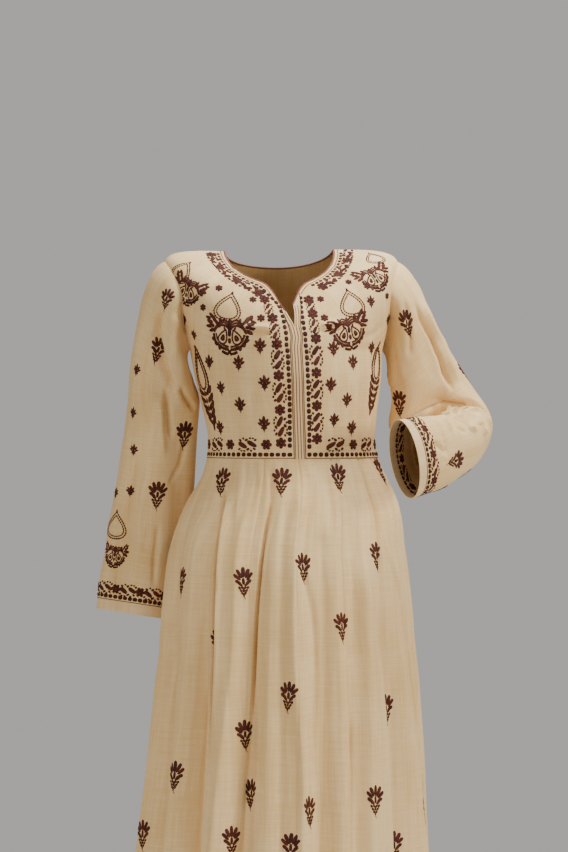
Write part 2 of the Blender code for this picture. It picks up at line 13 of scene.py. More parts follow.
import bpy
import numpy as np
from mathutils import Euler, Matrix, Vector


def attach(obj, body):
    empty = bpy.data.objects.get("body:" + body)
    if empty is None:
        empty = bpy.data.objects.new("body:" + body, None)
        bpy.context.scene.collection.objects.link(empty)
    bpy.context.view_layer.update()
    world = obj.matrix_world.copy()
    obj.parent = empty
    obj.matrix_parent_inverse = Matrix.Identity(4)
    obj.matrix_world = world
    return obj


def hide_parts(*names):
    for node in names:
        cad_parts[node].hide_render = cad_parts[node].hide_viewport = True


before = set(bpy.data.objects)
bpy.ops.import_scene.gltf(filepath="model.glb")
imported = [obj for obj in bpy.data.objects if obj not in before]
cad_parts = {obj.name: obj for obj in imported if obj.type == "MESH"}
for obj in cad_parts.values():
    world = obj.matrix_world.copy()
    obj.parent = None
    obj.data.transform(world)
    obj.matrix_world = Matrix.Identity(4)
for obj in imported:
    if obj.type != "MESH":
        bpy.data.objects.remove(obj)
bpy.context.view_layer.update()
LOG = logging.getLogger("gown")
TAU = 2.0 * math.pi

# Trunk and skirt rings: drop, side shift, half width, reach to the front, reach to the back
RINGS = np.array([
    (0.165, 0.0080, 0.1620, 0.130, 0.112), (0.215, 0.0115, 0.1560, 0.131, 0.108),
    (0.260, 0.0140, 0.1480, 0.124, 0.100), (0.311, 0.0175, 0.1410, 0.114, 0.094),
    (0.346, 0.0190, 0.1445, 0.112, 0.096), (0.380, 0.0215, 0.1570, 0.122, 0.106),
    (0.417, 0.0200, 0.1740, 0.138, 0.121), (0.501, 0.0110, 0.1940, 0.161, 0.145),
    (0.585, 0.0105, 0.2040, 0.171, 0.157), (0.669, 0.0110, 0.2090, 0.178, 0.165),
    (0.753, 0.0110, 0.2170, 0.186, 0.174), (0.853, 0.0095, 0.2250, 0.195, 0.183),
    (1.008, 0.0050, 0.2380, 0.209, 0.198), (1.320, 0.0030, 0.2700, 0.242, 0.233),
])
SHIFT, HALF_WIDTH, FRONT, BACK = 1, 2, 3, 4

# Main folds of the skirt: degrees at waist, degrees at hem, start share, width, height at the hem
FOLDS = (
    (-3, 3, 0.10, 0.020, 0.020), (9, 7, 0.12, 0.017, -0.024), (14, 19, 0.15, 0.022, 0.020),
    (22, 24, 0.20, 0.015, -0.018), (33, 29, 0.05, 0.020, 0.016), (36, 41, 0.12, 0.018, 0.016),
    (43, 47, 0.15, 0.018, -0.024), (44, 74, 0.06, 0.024, 0.020), (72, 92, 0.10, 0.020, -0.018),
    (88, 104, 0.05, 0.026, 0.022), (112, 118, 0.15, 0.020, -0.026), (128, 131, 0.05, 0.026, 0.024),
    (142, 146, 0.10, 0.018, -0.026), (155, 160, 0.08, 0.024, 0.020), (171, 173, 0.15, 0.020, -0.028),
    (186, 187, 0.05, 0.026, 0.024), (203, 200, 0.12, 0.018, -0.024), (214, 215, 0.06, 0.024, 0.022),
    (229, 230, 0.15, 0.020, -0.026), (243, 245, 0.05, 0.026, 0.022), (257, 262, 0.10, 0.018, -0.022),
    (-86, -82, 0.04, 0.022, 0.020), (-77, -63, 0.05, 0.018, -0.026), (-62, -54, 0.10, 0.020, 0.020),
    (-50, -44, 0.02, 0.016, -0.024), (-36, -34, 0.08, 0.026, 0.018), (-21, -25, 0.04, 0.016, -0.026),
    (-14, -12, 0.15, 0.022, 0.014),
)

# Depth of the pleats and gathers against their tables
PLEAT_DEPTH = 1.5
GATHER_DEPTH = 0.55

# Secondary folds of the skirt: shape, width and height, then their places as (degrees, z)
PLEATS = (
    (
        "soft", 0.0020, -0.0080,
        ((-18.4, -0.405), (-18.9, -0.462), (-19.2, -0.51), (-20.6, -0.58), (-21.9, -0.65), (-23.2, -0.78))
    ),
    (
        "soft", 0.0030, 0.0024,
        ((-16.8, -0.405), (-17.3, -0.462), (-17.6, -0.51), (-19.0, -0.58), (-20.3, -0.65), (-21.6, -0.78))
    ),
    (
        "step", 0.0075, -0.0050,
        ((-22.8, -0.350), (-18.5, -0.434), (-19.0, -0.51), (-21.8, -0.65), (-25.0, -0.90), (-26.0, -1.32))
    ),
    (
        "soft", 0.0050, -0.0050,
        ((-75.8, -0.47), (-72.0, -0.62), (-70.8, -0.75), (-66.0, -0.96), (-63.0, -1.32))
    ),
    (
        "soft", 0.0045, -0.0045,
        ((-57.5, -0.371), (-48.5, -0.419), (-43.8, -0.483), (-41.5, -0.63), (-41.5, -0.82), (-42.0, -1.1))
    ),
    (
        "soft", 0.0040, -0.0105,
        ((-52.5, -0.390), (-47.2, -0.430), (-43.8, -0.483), (-41.5, -0.63), (-41.5, -0.82))
    ),
    (
        "soft", 0.0050, 0.0040,
        ((-49.5, -0.390), (-44.4, -0.430), (-41.0, -0.483), (-38.7, -0.63), (-38.7, -0.82))
    ),
    ("soft", 0.0060, -0.0040, ((-46.8, -0.69), (-45.5, -0.951), (-45.0, -1.32))),
    ("soft", 0.0055, -0.0038, ((6.8, -0.370), (0.5, -0.472), (6.0, -0.62), (2.2, -0.88), (3.0, -1.1))),
    ("soft", 0.0070, 0.0035, ((-3.2, -0.357), (-1.8, -0.459), (-3.5, -0.607), (2.0, -0.942), (3.0, -1.32))),
    ("soft", 0.0050, -0.0040, ((14.3, -0.350), (15.0, -0.42), (16.5, -0.50))),
    ("soft", 0.0045, -0.0042, ((21.5, -0.74), (20.5, -0.93), (20.0, -1.32))),
    ("soft", 0.0080, 0.0034, ((31.3, -0.50), (30.0, -0.66), (28.2, -0.80), (28.0, -1.1))),
    ("soft", 0.0048, -0.0042, ((39.5, -0.60), (42.5, -0.957), (44.0, -1.32))),
    (
        "step", 0.0090, 0.0040,
        (
            (47.0, -0.47), (56.0, -0.573), (61.0, -0.663), (64.0, -0.753), (71.0, -0.844), (80.0, -0.93),
            (84.0, -1.32)
        )
    ),
    ("soft", 0.0045, -0.0030, ((-46.5, -0.350), (-37.2, -0.46), (-35.0, -0.56))),
    ("soft", 0.0045, -0.0034, ((36.0, -0.350), (33.5, -0.461), (33.0, -0.54))),
    ("soft", 0.0045, -0.0030, ((42.0, -0.350), (42.8, -0.472), (43.0, -0.56))),
    ("soft", 0.0070, 0.0030, ((-31.0, -0.42), (-30.0, -0.60), (-33.5, -0.85), (-35.0, -1.32))),
    ("soft", 0.0060, -0.0030, ((-9.5, -0.40), (-8.0, -0.56), (-9.0, -0.80), (-8.0, -1.15))),
    ("soft", 0.0080, 0.0026, ((-56.0, -0.44), (-55.0, -0.70), (-55.5, -1.05))),
    ("soft", 0.0060, -0.0030, ((10.5, -0.44), (11.5, -0.60), (11.0, -0.78))),
    ("soft", 0.0070, -0.0030, ((27.0, -0.42), (25.5, -0.60), (25.0, -0.72))),
    ("step", 0.0080, -0.0045, ((97.0, -0.350), (101.0, -0.55), (106.0, -0.90), (110.0, -1.32))),
    ("soft", 0.0060, -0.0045, ((121.0, -0.350), (123.0, -0.60), (125.0, -1.0))),
    ("step", 0.0080, 0.0040, ((135.0, -0.36), (138.0, -0.62), (140.0, -1.32))),
    ("soft", 0.0065, 0.0035, ((149.0, -0.37), (151.0, -0.66), (154.0, -1.2))),
    ("soft", 0.0050, -0.0045, ((164.0, -0.350), (166.0, -0.60), (168.0, -1.1))),
    ("step", 0.0085, -0.0048, ((178.0, -0.350), (180.0, -0.58), (181.0, -1.32))),
    ("soft", 0.0060, -0.0038, ((193.0, -0.350), (194.0, -0.70), (195.0, -1.1))),
    ("soft", 0.0070, 0.0035, ((207.0, -0.37), (208.0, -0.75), (208.0, -1.3))),
    ("step", 0.0080, 0.0042, ((221.0, -0.36), (223.0, -0.65), (223.0, -1.32))),
    ("soft", 0.0050, -0.0042, ((236.0, -0.350), (238.0, -0.62), (238.0, -1.1))),
    ("soft", 0.0065, -0.0036, ((250.0, -0.350), (253.0, -0.70), (254.0, -1.2))),
    ("soft", 0.0060, 0.0030, ((265.0, -0.37), (269.0, -0.70), (271.0, -1.2))),
)

# Short gathers under the waist seam: degrees at the seam, drift in degrees, length, height
GATHERS = (
    (-84, 3, 0.070, -2.2), (-79, 4, 0.110, 1.8), (-73, 3, 0.085, -2.6), (-68, 5, 0.060, 1.6),
    (-62, 5, 0.120, -2.8), (-56, 6, 0.075, 2.0), (-51, 5, 0.095, -2.4), (-41, 4, 0.070, 1.9),
    (-37, 3, 0.115, -2.6), (-32, 3, 0.060, -1.8), (-28, 2, 0.080, 1.8), (-17, 1, 0.060, 1.7),
    (-12, 0, 0.095, -2.2), (-7, 0, 0.055, 1.5), (4, 0, 0.065, 1.6), (9, -1, 0.100, -2.2),
    (18, -1, 0.070, 1.8), (25, -2, 0.110, -2.5), (29, -2, 0.060, 1.6), (39, 0, 0.075, 1.8),
    (47, 1, 0.100, -2.6), (52, 2, 0.070, 1.8), (58, 3, 0.120, -2.6), (64, 3, 0.065, 1.9),
    (69, 3, 0.090, -2.2), (75, 3, 0.060, 1.7), (81, 3, 0.105, -2.5), (87, 2, 0.070, 1.8),
)


def unit(vectors: np.ndarray) -> np.ndarray:
    """Vectors scaled to length one: v / |v|.

    Args:
        vectors: Any array whose last axis holds the components.

    Returns:
        The same array with unit length on its last axis.
    """
    return vectors / np.maximum(np.linalg.norm(vectors, axis=-1, keepdims=True), 1e-12)


def smoothstep(low: float, high: float, value: np.ndarray) -> np.ndarray:
    """Soft rise 3s^2 - 2s^3, s being the clipped share of the way from low to high.

    Args:
        low: Value where the rise starts.
        high: Value where it ends.
        value: Values to rate.

    Returns:
        Rise of each value, 0 to 1.
    """
    share = np.clip((value - low) / (high - low), 0.0, 1.0)
    return share * share * (3.0 - 2.0 * share)


def hermite(share: np.ndarray) -> tuple:
    """Weights of start point, start slope, end point and end slope of a cubic.

    Args:
        share: Share of the way along the span.

    Returns:
        The four weights.
    """
    square, cube = share * share, share * share * share
    return 2 * cube - 3 * square + 1, cube - 2 * square + share, 3 * square - 2 * cube, cube - square


def along(keys: np.ndarray, values: np.ndarray, spot: np.ndarray) -> np.ndarray:
    """Cubic through the values at the keys, with slopes taken from their neighbours.

    Args:
        keys: Rising keys.
        values: Value at each key.
        spot: Where to read.

    Returns:
        Value at each spot.
    """
    slopes = np.gradient(values, keys)
    spot = np.clip(spot, keys[0], keys[-1])
    left = np.clip(np.searchsorted(keys, spot, side="right") - 1, 0, len(keys) - 2)
    span = keys[left + 1] - keys[left]
    start, start_slope, end, end_slope = hermite((spot - keys[left]) / span)
    return start * values[left] + start_slope * span * slopes[left] + end * values[left + 1] + end_slope * span * slopes[
        left + 1
    ]


def soft_noise(rows: np.ndarray, columns: np.ndarray, cells: tuple, seed: int) -> np.ndarray:
    """Smooth uneven field: random heights on a coarse grid, eased from one to the next.

    Args:
        rows: Share of the way along each row, 0 to 1.
        columns: Share of the way round each column, 0 to 1, meeting itself at 1.
        cells: Coarse cells along and round.
        seed: Fixed seed.

    Returns:
        Heights from -1 to 1 for every row and column.
    """
    coarse = np.random.default_rng(seed).uniform(-1, 1, (cells[0] + 2, cells[1]))
    r, c = np.broadcast_arrays(rows * cells[0], columns * cells[1])
    i, j = np.floor(r).astype(int), np.floor(c).astype(int)
    u, v = smoothstep(0, 1, r - i), smoothstep(0, 1, c - j)
    i, j, k = np.clip(i, 0, cells[0]), j % cells[1], (j + 1) % cells[1]
    low = coarse[i, j] * (1 - v) + coarse[i, k] * v
    high = coarse[i + 1, j] * (1 - v) + coarse[i + 1, k] * v
    return low * (1 - u) + high * u


@dataclass(frozen=True)
class StudioView:
    """The camera, and the way from its picture to the gown."""

    azimuth: float = math.radians(7.0)
    distance: float = 3.2
    metres_per_pixel: float = 0.00168
    side: float = 0.0042
    height: float = -0.2923
    lens: float = 80.5
    size: tuple = (568, 852)

    def axes(self) -> tuple:
        """Right and heading directions of the level camera, and the point it aims at.

        Returns:
            Right, heading and aim.
        """
        right = np.array([math.cos(self.azimuth), -math.sin(self.azimuth), 0.0])
        heading = np.array([math.sin(self.azimuth), math.cos(self.azimuth), 0.0])
        return right, heading, right * self.side + np.array([0.0, 0.0, self.height])

    def pixels(self, points: np.ndarray) -> np.ndarray:
        """Picture places of points: offset over distance, over the size of a pixel at the aim.

        Args:
            points: Points in metres.

        Returns:
            Pixels to the right and down.
        """
        right, heading, aim = self.axes()
        away = points - aim
        scale = self.metres_per_pixel * (self.distance + away @ heading) / self.distance
        return np.stack(
            [self.size[0] / 2 + (away @ right) / scale, self.size[1] / 2 - away[..., 2] / scale], axis=-1
        )

    def place(self) -> None:
        """Make the camera and set it as the scene's."""
        _, heading, aim = self.axes()
        data = bpy.data.cameras.new("camera")
        data.lens = self.lens
        data.sensor_width = 36.0
        camera = bpy.data.objects.new("camera", data)
        camera.location = Vector(aim - heading * self.distance)
        camera.rotation_euler = Euler((math.pi / 2, 0.0, -self.azimuth))
        bpy.context.scene.collection.objects.link(camera)
        bpy.context.scene.camera = camera


VIEW = StudioView()


class Sheet:
    """A sheet of cloth as a dense grid of points, rows along it and columns across it."""

    def __init__(self, points: np.ndarray, wrap: bool = False, facing: float = 1.0) -> None:
        """Keep the grid and work out its slopes.

        Args:
            points: Rows by columns by 3, in metres.
            wrap: Whether the last column meets the first.
            facing: 1 where columns cross rows points outwards, else -1.
        """
        self.points = points
        self.wrap = wrap
        self.facing = facing
        self.refresh()

    def refresh(self) -> None:
        """Slopes and outward normals from the points: normal = across x along."""
        if self.wrap:
            self.across = (np.roll(self.points, -1, 1) - np.roll(self.points, 1, 1)) / 2
        else:
            self.across = np.gradient(self.points, axis=1)
        self.along = np.gradient(self.points, axis=0)
        self.normals = unit(np.cross(self.across, self.along)) * self.facing

    def read(self, table: np.ndarray, spots: np.ndarray) -> np.ndarray:
        """Table values at fractional grid places, blended from the four corners round each.

        Args:
            table: One value or vector for every grid point.
            spots: Rows and columns, fractional.

        Returns:
            Blended values.
        """
        rows, columns = self.points.shape[:2]
        r = np.clip(spots[..., 0], 0, rows - 1.0001)
        c = np.mod(spots[..., 1], columns) if self.wrap else np.clip(spots[..., 1], 0, columns - 1.0001)
        i, j = r.astype(int), c.astype(int)
        j = np.minimum(j, columns - 1)
        k = (j + 1) % columns
        u, v = (r - i)[..., None], (c - j)[..., None]
        low = table[i, j] * (1 - v) + table[i, k] * v
        high = table[i + 1, j] * (1 - v) + table[i + 1, k] * v
        return low * (1 - u) + high * u

    def walk(self, spots: np.ndarray, ups: np.ndarray, offsets: np.ndarray, steps: int = 4) -> np.ndarray:
        """Grid places reached by walking over the cloth, straight on, from each start.

        Args:
            spots: Starting grid places.
            ups: Direction that counts as up at each start.
            offsets: Metres to the right and up, seen from outside.
            steps: Equal steps of each walk.

        Returns:
            Grid places at the walks' ends.
        """
        spots = np.array(spots, float)
        normal = unit(self.read(self.normals, spots))
        up = unit(ups - normal * np.sum(ups * normal, -1, keepdims=True))
        right = np.cross(up, normal)
        path = right * offsets[..., :1] + up * offsets[..., 1:]
        length = np.linalg.norm(path, axis=-1) / steps
        heading = unit(path)
        rows, columns = self.points.shape[:2]
        for _ in range(steps):
            target = self.read(self.points, spots) + heading * length[..., None]
            for _ in range(4):
                gap = target - self.read(self.points, spots)
                across, ahead = self.read(self.across, spots), self.read(self.along, spots)
                aa, ab, bb = (across * across).sum(-1), (across * ahead).sum(-1), (ahead * ahead).sum(-1)
                ga, gb = (across * gap).sum(-1), (ahead * gap).sum(-1)
                det = np.maximum(aa * bb - ab * ab, 1e-16)
                spots[..., 1] += np.clip((ga * bb - gb * ab) / det, -12, 12)
                spots[..., 0] = np.clip(
                    spots[..., 0] + np.clip((gb * aa - ga * ab) / det, -12, 12), 0, rows - 1
                )
                if not self.wrap:
                    spots[..., 1] = np.clip(spots[..., 1], 0, columns - 1)
            normal = unit(self.read(self.normals, spots))
            heading = unit(heading - normal * np.sum(heading * normal, -1, keepdims=True))
        return spots

    def at_pixel(self, pixel: tuple) -> np.ndarray:
        """Grid place that the camera sees at a pixel: the nearest facing point, refined by slope.

        Args:
            pixel: Pixels to the right and down.

        Returns:
            Row and column.
        """
        _, heading, _ = VIEW.axes()
        flat = VIEW.pixels(self.points)
        away = np.linalg.norm(flat - np.array(pixel), axis=-1)
        away = np.where(self.normals @ heading < 0.05, away, away + 60.0)
        close = away < away.min() + 2.5
        depth = np.where(close, self.points @ heading, np.inf)
        seen = close & (depth < depth.min() + 0.02)
        i, j = np.unravel_index(np.argmin(np.where(seen, away, np.inf)), away.shape)
        spot = np.array([i, j], float)
        for _ in range(4):
            here = VIEW.pixels(self.read(self.points, spot))
            step = 0.3
            row = (
                VIEW.pixels(self.read(self.points, spot + (step, 0))) - VIEW.pixels(
                    self.read(self.points, spot - (step, 0))
                )
            ) / (2 * step)
            column = (
                VIEW.pixels(self.read(self.points, spot + (0, step))) - VIEW.pixels(
                    self.read(self.points, spot - (0, step))
                )
            ) / (2 * step)
            slope = np.stack([row, column], axis=1)
            if abs(np.linalg.det(slope)) < 1e-3:
                break
            move = np.linalg.solve(slope, np.array(pixel) - here)
            spot = spot + np.clip(move, -3, 3)
        return spot

    def press(self, lines: tuple, spots: list) -> None:
        """Push the cloth out or in along lines: height * exp(-(distance / width)^2), faded at the ends.

        Args:
            lines: Width and height of each line, in millimetres.
            spots: Grid places along each line.
        """
        push = np.zeros(self.points.shape[:2])
        for (width, height), run in zip(lines, spots):
            keys = np.linspace(0, 1, len(run))
            fine = np.linspace(0, 1, 90)
            dense = np.stack([np.interp(fine, keys, np.array(run)[:, axis]) for axis in (0, 1)], axis=-1)
            line = self.read(self.points, dense)
            reach = 3 * width / 1000
            near = np.all((self.points > line.min(0) - reach) & (self.points < line.max(0) + reach), axis=-1)
            gaps = np.linalg.norm(self.points[near][:, None] - line[None], axis=-1)
            share = gaps.argmin(1) / (len(line) - 1)
            fade = smoothstep(0.0, 0.22, share) * smoothstep(1.0, 0.78, share)
            push[near] += height / 1000 * fade * np.exp(-((gaps.min(1) / (width / 1000)) ** 2))
        self.points = self.points + self.normals * push[..., None]
        self.refresh()

    def metres(self) -> tuple:
        """Lengths across and along the cloth from its first column and row.

        Returns:
            Two arrays of lengths, one column longer on a tube, where the last column is the first.
        """
        points = np.concatenate([self.points, self.points[:, :1]], axis=1) if self.wrap else self.points
        across = np.linalg.norm(np.diff(points, axis=1), axis=-1)
        along_ = np.linalg.norm(np.diff(points, axis=0), axis=-1)
        u = np.concatenate([np.zeros((points.shape[0], 1)), np.cumsum(across, axis=1)], axis=1)
        u = u - u[:, -1:] / 2 if not self.wrap else u / u[:, -1:] * u[:, -1].mean()
        v = np.concatenate([[0.0], np.cumsum(along_.mean(axis=1))])
        return u, np.broadcast_to(v[:, None], u.shape)

    def part(self, rows: slice, columns: slice) -> "Sheet":
        """Sheet cut from this one, keeping its normals at the cut.

        Args:
            rows: Rows to keep.
            columns: Columns to keep.

        Returns:
            The cut sheet.
        """
        cut = Sheet(self.points[rows, columns], self.wrap and columns == slice(None), self.facing)
        cut.normals = self.normals[rows, columns]
        return cut


def make_mesh(name: str, points: np.ndarray, faces: np.ndarray) -> bpy.types.Mesh:
    """Mesh from arrays, all its faces with the same number of corners.

    Args:
        name: Name of the mesh.
        points: Points in metres.
        faces: Corner numbers of each face.

    Returns:
        The mesh, shaded smooth.
    """
    mesh = bpy.data.meshes.new(name)
    mesh.vertices.add(len(points))
    mesh.vertices.foreach_set("co", points.astype(np.float32).ravel())
    mesh.loops.add(faces.size)
    mesh.loops.foreach_set("vertex_index", faces.astype(np.int32).ravel())
    mesh.polygons.add(len(faces))
    mesh.polygons.foreach_set("loop_start", np.arange(0, faces.size, faces.shape[1], dtype=np.int32))
    mesh.update(calc_edges=True)
    mesh.shade_smooth()
    return mesh


def set_uv(mesh: bpy.types.Mesh, corners: np.ndarray) -> None:
    """Give a mesh its cloth lengths as the UV map 'metres'.

    Args:
        mesh: Mesh to mark.
        corners: Lengths across and along at each face corner.
    """
    layer = mesh.uv_layers.new(name="metres")
    layer.data.foreach_set("uv", corners.astype(np.float32).ravel())


def dress(mesh: bpy.types.Mesh, material: bpy.types.Material) -> bpy.types.Object:
    """Object for a mesh, in its finish, riding on the gown's body.

    Args:
        mesh: Mesh of the piece.
        material: Its finish.

    Returns:
        The piece.
    """
    mesh.materials.append(material)
    piece = bpy.data.objects.new(mesh.name, mesh)
    bpy.context.scene.collection.objects.link(piece)
    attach(piece, "root")
    LOG.info("%s is made", mesh.name)
    return piece


def shell(name: str, sheet: Sheet, thickness: float) -> bpy.types.Mesh:
    """Closed thin cloth: the sheet, the same sheet moved in by the thickness, and its rims.

    Args:
        name: Name of the mesh.
        sheet: Cloth as a grid.
        thickness: Thickness in metres.

    Returns:
        The mesh with its cloth lengths.
    """
    rows, columns = sheet.points.shape[:2]
    count = rows * columns
    ids = np.arange(count).reshape(rows, columns)
    if sheet.wrap:
        ids = np.concatenate([ids, ids[:, :1]], axis=1)
    wide = ids.shape[1]
    ext = np.arange(rows * wide).reshape(rows, wide)
    a, b, c, d = (part.ravel() for part in (ext[:-1, :-1], ext[:-1, 1:], ext[1:, 1:], ext[1:, :-1]))
    total = rows * wide
    outer = np.stack([a, b, c, d], axis=1)
    inner = np.stack([a, d, c, b], axis=1) + total
    rims = [(ext[0, 1:], ext[0, :-1]), (ext[-1, :-1], ext[-1, 1:])]
    if not sheet.wrap:
        rims += [(ext[:-1, 0], ext[1:, 0]), (ext[1:, -1], ext[:-1, -1])]
    edges = [np.stack([first, last, last + total, first + total], axis=1)[:, ::-1] for first, last in rims]
    faces = np.concatenate([outer, inner, *edges])
    if sheet.facing < 0:
        faces = faces[:, ::-1]
    flat = np.concatenate([ids.ravel(), ids.ravel() + count])
    points = np.concatenate(
        [sheet.points.reshape(-1, 3), (sheet.points - sheet.normals * thickness).reshape(-1, 3)]
    )
    mesh = make_mesh(name, points, flat[faces])
    u, v = sheet.metres()
    lengths = np.stack([u.ravel(), v.ravel()], axis=1)
    set_uv(mesh, np.concatenate([lengths, lengths])[faces].reshape(-1, 2))
    mesh.set_sharp_from_angle(angle=math.radians(60.0))
    return mesh


class Graph:
    """Short way of wiring a material's nodes."""

    def __init__(self, name: str) -> None:
        """Start a material with one main shader.

        Args:
            name: Name of the material.
        """
        self.material = bpy.data.materials.new(name)
        self.material.use_nodes = True
        self.tree = self.material.node_tree
        self.shader = self.tree.nodes["Principled BSDF"]

    def add(self, kind: str, inputs: dict | None = None, **settings: object) -> bpy.types.Node:
        """Add a node, set it up and link its inputs.

        Args:
            kind: Node type without its prefix.
            inputs: Values or output sockets by input name or number.
            **settings: Attributes of the node.

        Returns:
            The node.
        """
        node = self.tree.nodes.new("ShaderNode" + kind)
        for key, value in settings.items():
            setattr(node, key, value)
        for key, value in (inputs or {}).items():
            self.feed(node.inputs[key], value)
        return node

    def feed(self, socket: bpy.types.NodeSocket, value: object) -> None:
        """Link an output into a socket, or set the socket's value.

        Args:
            socket: Socket to feed.
            value: Output socket or plain value.
        """
        if isinstance(value, bpy.types.NodeSocket):
            self.tree.links.new(value, socket)
        else:
            socket.default_value = value

    def mix(self, share: object, low: object, high: object) -> bpy.types.NodeSocket:
        """Colour low * (1 - share) + high * share.

        Args:
            share: Share of the second colour.
            low: First colour.
            high: Second colour.

        Returns:
            The mixed colour's socket.
        """
        node = self.add("Mix", data_type="RGBA")
        self.feed(node.inputs[0], share)
        self.feed(node.inputs[6], low)
        self.feed(node.inputs[7], high)
        return node.outputs[2]

    def math(self, operation: str, first: object, second: object = 0.0) -> bpy.types.NodeSocket:
        """One sum of two numbers.

        Args:
            operation: Blender's name for the sum.
            first: First number or socket.
            second: Second number or socket.

        Returns:
            The result's socket.
        """
        node = self.add("Math", operation=operation)
        self.feed(node.inputs[0], first)
        self.feed(node.inputs[1], second)
        return node.outputs[0]


@dataclass(frozen=True)
class Cotton:
    """Plain woven cotton: fine threads, slubs along the warp and soft crumples."""

    name: str
    colour: tuple
    shade: tuple
    thread: float = 0.00045
    crumple: float = 0.0020
    streaks: float = 1.1
    roughness: float = 0.86
    sheen: float = 0.10

    def make(self) -> bpy.types.Material:
        """Build the material.

        Returns:
            The material.
        """
        graph = Graph(self.name)
        lengths = graph.add("UVMap", uv_map="metres").outputs["UV"]
        place = graph.add("TexCoord").outputs["Object"]
        slub = graph.add("Mapping", {"Vector": lengths, "Scale": (420.0, 14.0, 1.0)})
        slubs = graph.add(
            "TexNoise", {"Vector": slub.outputs[0], "Scale": 1.0, "Detail": 2.0, "Roughness": 0.6}
        )
        pick = graph.add("Mapping", {"Vector": lengths, "Scale": (16.0, 380.0, 1.0)})
        picks = graph.add(
            "TexNoise", {"Vector": pick.outputs[0], "Scale": 1.0, "Detail": 2.0, "Roughness": 0.6}
        )
        cloud = graph.add("TexNoise", {"Vector": place, "Scale": 9.0, "Detail": 3.0, "Roughness": 0.55})
        lines = graph.math("ADD", slubs.outputs[0], picks.outputs[0])
        spread = graph.math("MULTIPLY", graph.math("SUBTRACT", lines, 1.0), 0.9)
        stripe = graph.add("Mapping", {"Vector": lengths, "Scale": (46.0, 1.3, 1.0)})
        stripes = graph.add(
            "TexNoise", {"Vector": stripe.outputs[0], "Scale": 1.0, "Detail": 2.0, "Roughness": 0.5}
        )
        bands = graph.math("MULTIPLY", graph.math("SUBTRACT", stripes.outputs[0], 0.5), self.streaks)
        share = graph.math("ADD", graph.math("ADD", spread, cloud.outputs[0]), bands)
        ramp = graph.add(
            "MapRange", {"Value": share, "From Min": 0.28, "From Max": 0.74, "To Min": 1.0, "To Max": 0.0}
        )
        graph.feed(graph.shader.inputs["Base Color"], graph.mix(ramp.outputs[0], self.colour, self.shade))
        waves = []
        for direction in ("X", "Y"):
            node = graph.add(
                "TexWave",
                {
                    "Vector": lengths, "Scale": 0.314 / self.thread, "Distortion": 0.6, "Detail": 1.0,
                    "Detail Scale": 0.02
                }
            )
            node.bands_direction = direction
            waves.append(node.outputs[1])
        weave = graph.math(
            "ADD", graph.math("MAXIMUM", waves[0], waves[1]), graph.math("MULTIPLY", lines, 0.9)
        )
        fine = graph.add("Bump", {"Height": weave, "Strength": 0.30, "Distance": 0.00016})
        crumples = graph.add("TexNoise", {"Vector": place, "Scale": 42.0, "Detail": 4.0, "Roughness": 0.55})
        broad = graph.add(
            "Bump",
            {
                "Height": crumples.outputs[0], "Strength": 0.35, "Distance": self.crumple,
                "Normal": fine.outputs[0]
            }
        )
        graph.feed(graph.shader.inputs["Normal"], broad.outputs[0])
        graph.shader.inputs["Roughness"].default_value = self.roughness
        graph.shader.inputs["Sheen Weight"].default_value = self.sheen
        graph.shader.inputs["Sheen Roughness"].default_value = 0.5
        graph.shader.inputs["Specular IOR Level"].default_value = 0.15
        return graph.material


@dataclass(frozen=True)
class Thread:
    """Soft twisted cotton thread, each stitch a little lighter or darker than the next."""

    name: str
    dark: tuple
    light: tuple
    strand: float = 0.00055
    roughness: float = 0.62

    def make(self) -> bpy.types.Material:
        """Build the material.

        Returns:
            The material.
        """
        graph = Graph(self.name)
        tone = graph.add("Attribute", attribute_name="tone").outputs["Fac"]
        lengths = graph.add("UVMap", uv_map="metres").outputs["UV"]
        place = graph.add("TexCoord").outputs["Object"]
        speck = graph.add("TexNoise", {"Vector": place, "Scale": 620.0, "Detail": 2.0, "Roughness": 0.6})
        mottle = graph.math("MULTIPLY", graph.math("SUBTRACT", speck.outputs[0], 0.5), 0.7)
        share = graph.add("Clamp", {"Value": graph.math("ADD", tone, mottle)})
        graph.feed(graph.shader.inputs["Base Color"], graph.mix(share.outputs[0], self.dark, self.light))
        strands = graph.add(
            "TexWave",
            {
                "Vector": lengths, "Scale": 0.314 / self.strand, "Distortion": 1.2, "Detail": 1.0,
                "Detail Scale": 0.03
            }
        )
        strands.bands_direction = "Y"
        bump = graph.add("Bump", {"Height": strands.outputs[1], "Strength": 0.6, "Distance": 0.0003})
        graph.feed(graph.shader.inputs["Normal"], bump.outputs[0])
        graph.shader.inputs["Roughness"].default_value = self.roughness
        graph.shader.inputs["Specular IOR Level"].default_value = 0.2
        return graph.material


RIM = 10
DOME_ANGLES = np.linspace(0.0, TAU, RIM, endpoint=False)
DOME_SIDE = np.sign(np.sin(DOME_ANGLES)) * np.abs(np.sin(DOME_ANGLES)) ** 0.72
DOME_TIP = np.sign(np.cos(DOME_ANGLES)) * np.abs(np.cos(DOME_ANGLES)) ** 0.86
DOME_ACROSS = np.concatenate([DOME_SIDE, 0.70 * DOME_SIDE, [0.0]])
DOME_ALONG = np.concatenate([DOME_TIP, 0.70 * DOME_TIP, [0.0]])
DOME_RISE = np.concatenate([np.full(RIM, -0.12), np.full(RIM, 0.85), [1.0]])


def dome_faces() -> np.ndarray:
    """Triangles of one domed stitch: rim to shoulder, then shoulder to crown.

    Returns:
        Corner numbers of each triangle.
    """
    here = np.arange(RIM)
    after = (here + 1) % RIM
    band = [
        (here, here + RIM, after), (after, here + RIM, after + RIM),
        (here + RIM, np.full(RIM, 2 * RIM), after + RIM)
    ]
    return np.concatenate([np.stack(parts, axis=1) for parts in band])


DOME_FACES = dome_faces()


